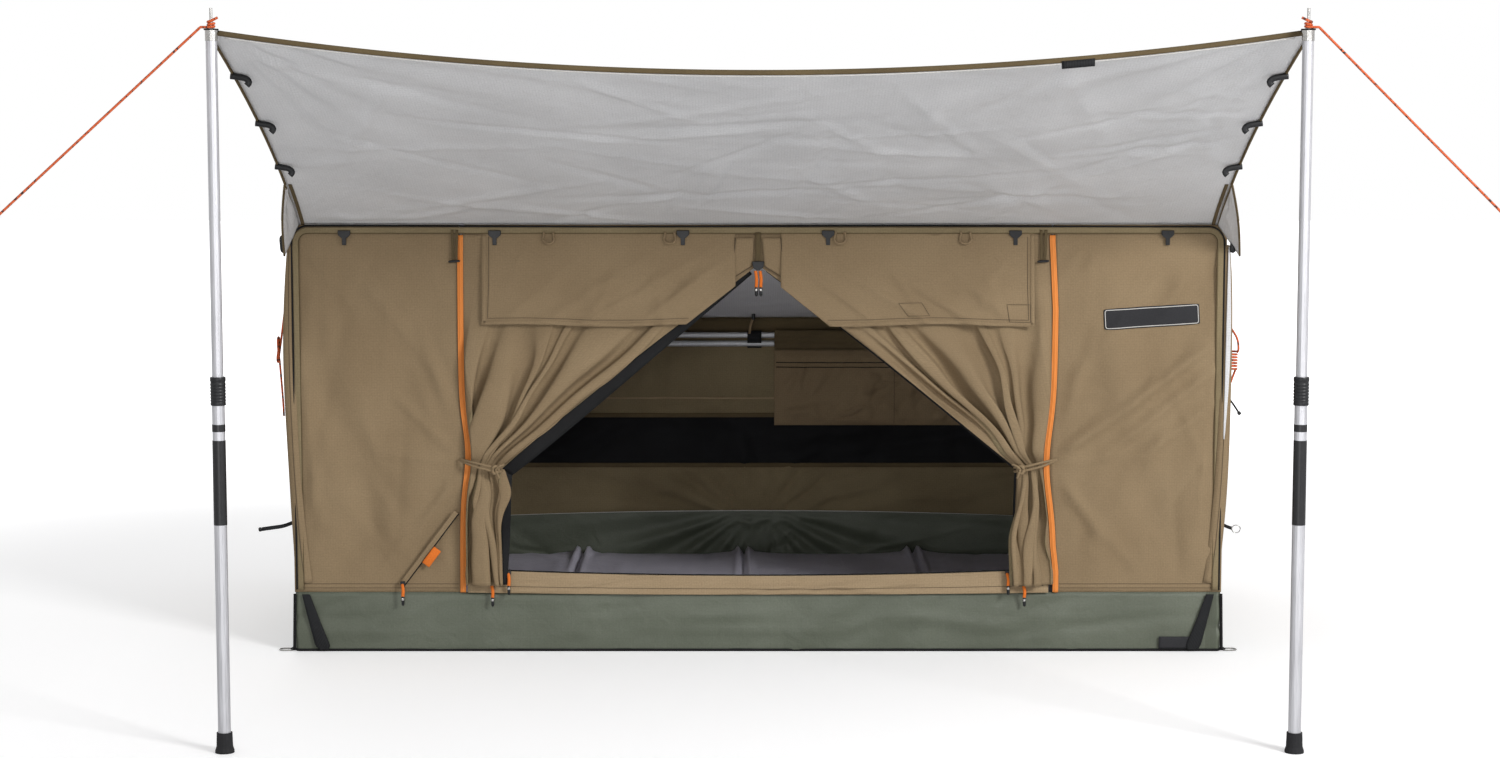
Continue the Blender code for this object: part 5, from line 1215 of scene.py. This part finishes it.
def make_mattress():
    """The folded foam mattress: a superellipse section along its length, pinched at three folds.

    The cover stands up in a ridge each side of a fold, higher towards the back, where it bunches.
    """
    length, depth, low, high = 1.02, 0.5, 0.0033, 0.0773
    folds = np.array([-0.469, -0.037, 0.420])
    x = np.linspace(-1, 1, 300)
    x = np.sign(x) * np.abs(x) ** 0.9 * length
    turn = np.linspace(0, math.tau, 120, endpoint=False)
    away = np.abs(x[:, None] - folds[None]).min(axis=1)
    pinch = np.exp(-((away / 0.006) ** 2))
    end = np.clip((length - np.abs(x)) / 0.035, 0, 1)
    end = np.sqrt(np.clip(1 - (1 - end) ** 2, 0.0004, 1))
    wide = np.sign(np.cos(turn)) * np.abs(np.cos(turn)) ** 0.28
    tall = np.sign(np.sin(turn)) * np.abs(np.sin(turn)) ** 0.55
    half_depth = depth * (1 - 0.02 * pinch - 0.03 * (1 - end))
    half_high = (high - low) / 2 * end
    y = half_depth[:, None] * wide[None]
    z = (low + high) / 2 + half_high[:, None] * tall[None]
    upper = np.clip(tall, 0, 1)[None] ** 0.6
    crown = 0.006 * (1 - (y / depth) ** 2)
    rise = 0.017 * np.exp(-(((away - 0.014) / 0.009) ** 2)) + 0.009 * np.exp(-((away / 0.07) ** 2))
    ridge = rise[:, None] * np.clip(0.3 + y / depth * 0.8, 0, 1) ** 1.5
    z = z + upper * (crown + ridge - 0.014 * pinch[:, None])
    place = np.broadcast_to(x[:, None], y.shape)
    z = z + upper * creases(place, y, 141, 120, 0.006, 0.12, 0.012, 1.4, 0.6) * end[:, None]
    grid = spots(place, y, np.maximum(z, low))
    points = np.concatenate([grid.reshape(-1, 3), spots(x[[0, -1]], 0, (low + high) / 2)])
    mattress = make_piece("mattress_foam", points, closed_faces(len(x), len(turn)), [mattress_skin],
                          points[:, :2])
    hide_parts("mattress")


make_rear_liner()
make_pockets()
make_rail_cover()
make_rail_strap()
make_mattress()

# Corners
WING_SHARE = 0.24
# The corner flap's section, from the front round to the end: its share of the way, how far out it lies, how
# much of the bow it takes, and its depth
FLAP_WAY = np.array([0.0, 0.12, 0.22, 0.36, 0.55, 0.78, 1.0])[None]
FLAP_OUT = np.array([1.071, 1.0795, 1.0850, 1.0868, 1.0866, 1.0858, 1.0850])[None]
FLAP_BOW = np.array([0.0, 0.35, 0.8, 1.0, 0.9, 0.6, 0.35])[None]
FLAP_DEPTH = np.array([-0.5305, -0.5315, -0.5285, -0.518, -0.503, -0.484, -0.465])[None]


def awning_half(share):
    """Half the awning's width at a share of its depth: its sides draw in by a flattened sine."""
    return AWNING_HALF - 0.018 * np.sin(math.pi * share) ** 0.8


def awning_top(x, share):
    """Depth and height of the awning's top face: straight rafters with a parabola's sag at the front."""
    front = TAB_TOP - AWNING_SAG * (1 - (x / AWNING_HALF) ** 2)
    y = FRONT_Y - GAP + (AWNING_FRONT_Y - FRONT_Y + GAP) * share
    z = FRONT_TOP + (front - FRONT_TOP) * share
    return y, z - 0.015 * np.sin(math.pi * share) * (1 - (x / AWNING_HALF) ** 2)


def make_corner_covers():
    """The flap down each front corner: a strip wrapped from the front round to the end, bowed outwards."""
    fall = np.linspace(0, 1, 70)[:, None]
    for side, name in SIDES:
        bow = 0.012 * np.sin(math.pi * fall**0.75) + 0.0015 * np.sin(9 * fall + side)
        x = side * (FLAP_OUT + bow * FLAP_BOW - fall**3 * (0.030 * (1 - FLAP_WAY) ** 3 + 0.004))
        y = FLAP_DEPTH + 0.002 * np.sin(7 * fall + FLAP_WAY * 3)
        lift = 0.006 * np.clip((fall - 0.97) / 0.03, 0, 1) * (FLAP_WAY - 0.4) ** 2 * 4
        grid = spots(x, y, 0.948 + (0.16 - 0.948) * fall + lift)
        make_sheet(f"corner_cover_{name}_cloth", grid, [f"corner_cover_{name}"], (0.078, 0.788), held="hung",
                   thick=0.0018, out=(side, 0, 0), skins=(canvas, silver))
        make_seam(f"corner_cover_seam_{name}", grid[1:-1, 1] + [0, -0.0006, 0])
        tab = smooth_path([(side * x, -0.430, z) for x, z in ((1.080, 0.850), (1.094, 0.851), (1.103, 0.850))],
                          0.004)
        crumple_down(make_band(f"rope_tab_{name}", tab, BACK, 0.024, 0.003, out=UP))


def make_awning_wings():
    """The gusset at each rear corner of the awning: a ruled sheet from the awning's edge to its own free edge."""
    share = np.linspace(WING_SHARE, 0, 24)
    run = np.linspace(0, 1, 24)[:, None]
    y, z = awning_top(np.full_like(share, AWNING_HALF), share)
    blank = np.zeros((24, 12))
    for side, name in SIDES:
        inner = spots(side * awning_half(share), y, z - 0.0028)
        low = np.array([side * (1.090 if side < 0 else 1.108), -0.533, 0.925])
        start = inner[0] + [side * 0.003, 0, -0.003]
        outer = start + (low - start) * run + np.sin(math.pi * run) * [side * 0.005, 0, 0]
        grid = inner[:, None] + (outer - inner)[:, None] * np.linspace(0, 1, 12)[None, :, None]
        wave = creases(run + blank, np.linspace(0, 0.3, 12)[None] + blank, 151 + side, 14, 0.005, 0.4, 0.03,
                       0.2, 0.3)
        grid[..., 0] += side * wave * edge_fade(24, 12, 0.3)
        wing = make_cloth(f"awning_wing_{name}", grid, 0.0014, (side, 0, 0), (canvas, silver))
        seam = inner + [-side * 0.009, 0, -0.0022]
        drop_awning(wing, make_tube(f"awning_wing_edge_{name}", outer, 0.0026, canvas_trim, RIGHT),
                    make_band(f"awning_seam_{name}", seam, RIGHT, 0.008, 0.0012, canvas_trim, (0, 0, -1)))
        crumple_down(make_capsule(f"wing_buckle_{name}", (side * 1.094, -0.536, 0.972),
                                  (side * 1.091, -0.536, 0.931), 0.0075, flat=0.5))


# The fold of a corner ring's tab, outwards and up
RING_FOLD = ((1.070, 0.0022), (1.086, 0.0022), (1.0915, 0.0023), (1.0928, 0.0042), (1.0905, 0.0056),
             (1.084, 0.0055), (1.070, 0.0050))


def make_corner_webbing():
    """Each lower corner: a tapered strap with a pointed end, the corner's binding and the ring's tab."""
    share = np.linspace(0, 1, 30)
    width = (0.018 + 0.018 * share) * np.clip((1.08 - share) / 0.16, 0.2, 1)
    for side, name in SIDES:
        path = spots(side * (1.053 + (1.012 - 1.053) * share),
                     FRONT_Y - 0.0085 - 0.003 * np.sin(math.pi * share), 0.136 + (0.004 - 0.136) * share)
        strap = make_band(f"corner_strap_{name}", path, RIGHT, width, 0.0022)
        route = smooth_path([(side * u, -0.511, w) for u, w in RING_FOLD], 0.002)
        fold = make_band(f"ring_tab_{name}", route, BACK, 0.016, 0.0010, out=UP)
        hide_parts(f"corner_webbing_{name}")
        edge = np.linspace((side * 1.0795, -0.5265, 0.136), (side * 1.0825, -0.5268, 0.006), 14)
        make_tube(f"tub_corner_binding_{name}", edge, 0.0036, canvas_black)
    patch = wall_grid((0.935, 1.030), (0.008, 0.036), 6, 12, FRONT_Y - 0.0075)
    make_cloth("tub_foot_patch", patch, 0.0014, skins=(patch_cloth,))


def make_loose_straps():
    """Black straps and their moulded ends, hanging out at the corners, and the corner flap's turned edge."""
    left = smooth_path([(-1.085, -0.495, 0.300), (-1.108, -0.500, 0.292), (-1.135, -0.503, 0.288),
                        (-1.158, -0.505, 0.285)], 0.005)
    right = smooth_path([(1.082, -0.500, 0.610), (1.093, -0.504, 0.594), (1.106, -0.506, 0.576),
                         (1.116, -0.506, 0.561)], 0.004)
    low = smooth_path([(1.083, -0.495, 0.296), (1.096, -0.499, 0.290), (1.108, -0.500, 0.286)], 0.004)
    turn = np.linspace(0, math.tau, 33)
    ring = spots(1.117 + 0.010 * np.cos(turn), -0.500, 0.285 + 0.009 * np.sin(turn))
    bend = np.sin(np.linspace(0, math.pi, 30))
    turned = np.linspace((1.0835, -0.5350, 0.945), (1.0790, -0.5345, 0.50), 30) + bend[:, None] * [0.004, 0, 0]
    crumple_down(
        make_band("loose_strap_left", left, UP, 0.009, 0.0016),
        make_capsule("loose_strap_left_end", left[-1], left[-1] + [-0.008, 0, -0.001], 0.005),
        make_tube("loose_strap_right", right, 0.0022, webbing),
        make_capsule("loose_strap_right_end", right[-1], right[-1] + [0.005, 0, -0.007], 0.0042),
        make_band("loose_strap_low_right", low, UP, 0.008, 0.0016),
        make_tube("loose_strap_ring", ring, 0.0012, plated_steel),
        make_band("cover_turned_edge", turned, RIGHT, 0.003 + 0.008 * bend, 0.0012, silver),
    )


make_corner_covers()
make_awning_wings()
make_corner_webbing()
make_loose_straps()


# Awning
def make_awning():
    """The awning sheet, silver underneath: creases run from its corners and along its rear seam.

    From each front corner folds fan out as a cosine of the angle there, and die away with the distance.
    """
    rows, columns = 110, 200
    share = np.linspace(0, 1, rows)[:, None]
    half = awning_half(share)
    x = np.linspace(-1, 1, columns)[None] * half
    y, z = awning_top(x / half * AWNING_HALF, share)
    y = y + np.zeros_like(x)
    wave = creases(x, y, 101, 60, 0.0065, 0.22, 0.014, 0.0, 0.35)
    wave += creases(x, y, 102, 50, 0.006, 0.2, 0.016, 1.2, 0.6)
    for corner, _ in SIDES:
        away = np.hypot(x - corner * POLE_X, y - POLE_Y)
        angle = np.arctan2(y - POLE_Y, -corner * (x - corner * POLE_X))
        fan = np.cos(angle * 23 + 2 * np.sin(angle * 5)) * np.exp(-away / 0.35) * np.clip(away / 0.12, 0, 1)
        wave = wave + fan * 0.008
    grid = spots(x, y, z + wave * edge_fade(rows, columns, 0.06))
    sheet = make_cloth("awning_cloth", grid, out=UP, skins=(canvas, silver))
    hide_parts("awning")
    join = grid[0, 2:-2] + [0, 0, 0.0004]
    drop_awning(sheet, make_tube("awning_rear_seam", join, 0.0032, canvas_trim, UP, flat=0.5))
    make_awning_trim(grid)


def make_awning_trim(grid):
    """Bindings on the awning's edges, three black toggles on each side and the black patch on its hem."""
    front = grid[-1]
    hem = front + np.array([(0, -0.0025, 0.001), (0, -0.0032, -0.003), (0, -0.0034, -0.006),
                            (0, -0.0025, -0.0095)])[:, None]
    binding = make_cloth("awning_hem_binding", hem, skins=(canvas_trim,))
    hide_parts("awning_hem")
    stitches = front[3:-3] + [0, -0.0030, -0.0115]
    drop_awning(binding, make_tube("awning_hem_stitch", stitches, 0.0009, pale_thread, sides=6))
    edges = {-1: grid[:, 0], 1: grid[:, -1]}
    for side, name in SIDES:
        piping = make_tube(f"awning_edge_{name}_binding", edges[side] + np.array([side * 0.002, 0, -0.002]),
                           0.0055, canvas_trim, RIGHT, flat=0.5)
        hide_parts(f"awning_edge_{name}")
        drop_awning(piping)
    hook = [(0.006, -0.007), (-0.010, -0.009), (-0.024, -0.012), (-0.031, -0.019), (-0.026, -0.026)]
    for side, name in SIDES:
        for number, share in enumerate((0.81, 0.58, 0.35), 1):
            head = edges[side][round(share * (len(grid) - 1))]
            route = smooth_path([head + [side * u, -0.007, w] for u, w in hook], 0.003)
            drop_awning(make_tube(f"awning_toggle_{number}_{name}", route, 0.0064, nylon, sides=12, flat=0.6))
    column = round((0.612 / AWNING_HALF + 1) / 2 * (grid.shape[1] - 1))
    patch = front[column - 3:column + 4] + np.array([(0, -0.0046, -0.006), (0, -0.0056, -0.014),
                                                     (0, -0.0050, -0.021)])[:, None]
    drop_awning(make_cloth("awning_hem_patch", patch, 0.001, skins=(webbing,)))


# Poles and awning fittings
POLE_TUBE = 0.0125
COLLAR_FOOT = ((0.0128, 0.682), (0.0145, 0.682), (0.0149, 0.685))
COLLAR_RIB = ((0.0142, 0), (0.0149, 0.0012), (0.0149, 0.0034), (0.0142, 0.0046))
COLLAR_HEAD = ((0.0142, 0.728), (0.0150, 0.730), (0.0150, 0.735), (0.0143, 0.737), (0.0113, 0.737),
               (0.0113, 0.7205), (0.0128, 0.7205))
TAB_PAD = ((0.0045, 0), (0.014, 0), (0.014, 0.0025), (0.0045, 0.0025))
EYELET_LIP = ((0.0042, -0.0006), (0.0088, -0.0006), (0.0094, 0.0008), (0.0088, 0.0032), (0.0062, 0.0038),
              (0.0042, 0.0032))


def make_pole_trim():
    """On each pole: a plain black sleeve, a narrow band above it and a ribbed lock collar."""
    ribs = [(radius, 0.689 + number * 0.0062 + up) for number in range(6) for radius, up in COLLAR_RIB]
    for side, name in SIDES:
        centre = (side * POLE_X, POLE_Y, 0)
        for piece, low, high in (("sleeve", 0.449, 0.614), ("band", 0.631, 0.645)):
            film = POLE_TUBE + 0.0004
            profile = [(POLE_TUBE, low), (film, low), (film, high), (POLE_TUBE, high)]
            make_ring(f"pole_{piece}_{name}", profile, centre, vinyl, body=f"pole_leg_{name}", crisp=True)
        collar = make_ring(f"lock_collar_{name}_ribbed", [*COLLAR_FOOT, *ribs, *COLLAR_HEAD], centre, nylon, 48,
                           f"collar_{name}", crisp=True)
        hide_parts(f"lock_collar_{name}")


def make_awning_tabs():
    """At each front corner of the awning: a webbing tab round the spike with a pressed steel eyelet."""
    for side, name in SIDES:
        centre = np.array([side * POLE_X, POLE_Y, TAB_TOP - 0.0025])
        pad = make_ring(f"awning_tab_{name}", TAB_PAD, centre, webbing)
        make_ring(f"awning_eyelet_{name}", EYELET_LIP, centre, plated_steel)
        start = centre + [side * 0.002, 0.011, 0.00125]
        end = np.array([side * (AWNING_HALF - 0.010), AWNING_FRONT_Y + 0.012, TAB_TOP - 0.0035])
        across = np.cross((end - start) / np.linalg.norm(end - start), UP)
        drop_awning(make_band(f"awning_corner_strap_{name}", np.linspace(start, end, 8), across, 0.024, 0.0024,
                              out=UP))


make_awning()
make_pole_trim()
make_awning_tabs()


# Finishes of the frame's own solids that stay in view
def finish_nodes(skin, *names):
    for name in names:
        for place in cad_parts[name].material_slots:
            place.material = skin


for _, name in SIDES:
    finish_nodes(pole_tube, f"pole_upper_{name}", f"pole_lower_{name}")
    finish_nodes(plated_steel, f"pole_spike_{name}", f"corner_ring_{name}")
    finish_nodes(rubber, f"pole_foot_{name}")
    finish_nodes(frame_tube, f"front_leg_{name}", f"rear_leg_{name}", f"base_bar_{name}")
finish_nodes(frame_tube, "front_rail", "rear_rails")

# Floor, lamps and the white behind
FLOOR_GLOW = 0.34
FLOOR_REACH = 30.0
ROOM_LIGHT = 0.45
WHITE = (1, 1, 1, 1)


def make_floor():
    """A flat square of pale floor, which glows a little to the camera, and more far off, to meet the white."""
    material, shader = start_material("pale_painted_floor", 0.9)
    shader["Base Color"].default_value = linear("#EDEDEE")
    grain = put(material, "TexNoise", {"Scale": 3.0, "Detail": 2.0})
    lift = put(material, "Bump", {"Height": grain["Fac"], "Strength": 0.02, "Distance": 0.001})
    link(material, lift["Normal"], shader["Normal"])
    away = put(material, "VectorMath", {0: put(material, "TexCoord")["Object"]}, operation="LENGTH")
    far = put(material, "MapRange", {"Value": away["Value"], "From Min": 2.0, "From Max": 5.0,
                                     "To Min": FLOOR_GLOW, "To Max": 1.0}, interpolation_type="SMOOTHSTEP")
    glow = put(material, "Math", {0: put(material, "LightPath")["Is Camera Ray"], 1: far["Result"]},
               operation="MULTIPLY")
    shader["Emission Color"].default_value = WHITE
    link(material, glow["Value"], shader["Emission Strength"])
    mesh = bpy.data.meshes.new("floor")
    corners = [(x * FLOOR_REACH, y * FLOOR_REACH, 0) for x, y in ((-1, -1), (1, -1), (1, 1), (-1, 1))]
    mesh.from_pydata(corners, [], [(0, 1, 2, 3)])
    mesh.materials.append(material)
    add_object("floor", mesh)


def make_world():
    """Even grey light from all round, and plain white to the camera, to gloss and through clear things."""
    world = bpy.data.worlds.new("soft_room")
    world.use_nodes = True
    bpy.context.scene.world = world
    back = world.node_tree.nodes["Background"].inputs
    back["Color"].default_value = WHITE
    seen = put(world, "LightPath")
    either = put(world, "Math", {0: seen["Is Camera Ray"], 1: seen["Is Glossy Ray"]}, operation="MAXIMUM")
    any_of = put(world, "Math", {0: either["Value"], 1: seen["Is Transmission Ray"]}, operation="MAXIMUM")
    strength = put(world, "MapRange", {"Value": any_of["Value"], "To Min": ROOM_LIGHT, "To Max": 1.0})
    link(world, strength["Result"], back["Strength"])


def make_lamp(name, place, aim, width, watts):
    """A square soft lamp at a place, turned to face a point."""
    data = bpy.data.lights.new(name, "AREA")
    data.size = width
    data.energy = watts
    lamp = add_object(name, data)
    lamp.location = place
    lamp.rotation_euler = (Vector(aim) - Vector(place)).to_track_quat("-Z", "Y").to_euler()


make_floor()
make_world()
make_lamp("front_lamp", (4.2, -5.8, 3.5), (0, -0.4, 0.6), 1.7, 340)
make_lamp("fill_lamp", (-0.9, -7.2, 0.8), (0, 0, 0.6), 1.4, 62)
make_lamp("back_lamp", (-1.0, 5.0, 4.5), (0, 0, 0.5), 4.0, 90)
bpy.context.scene.view_settings.view_transform = "Standard"
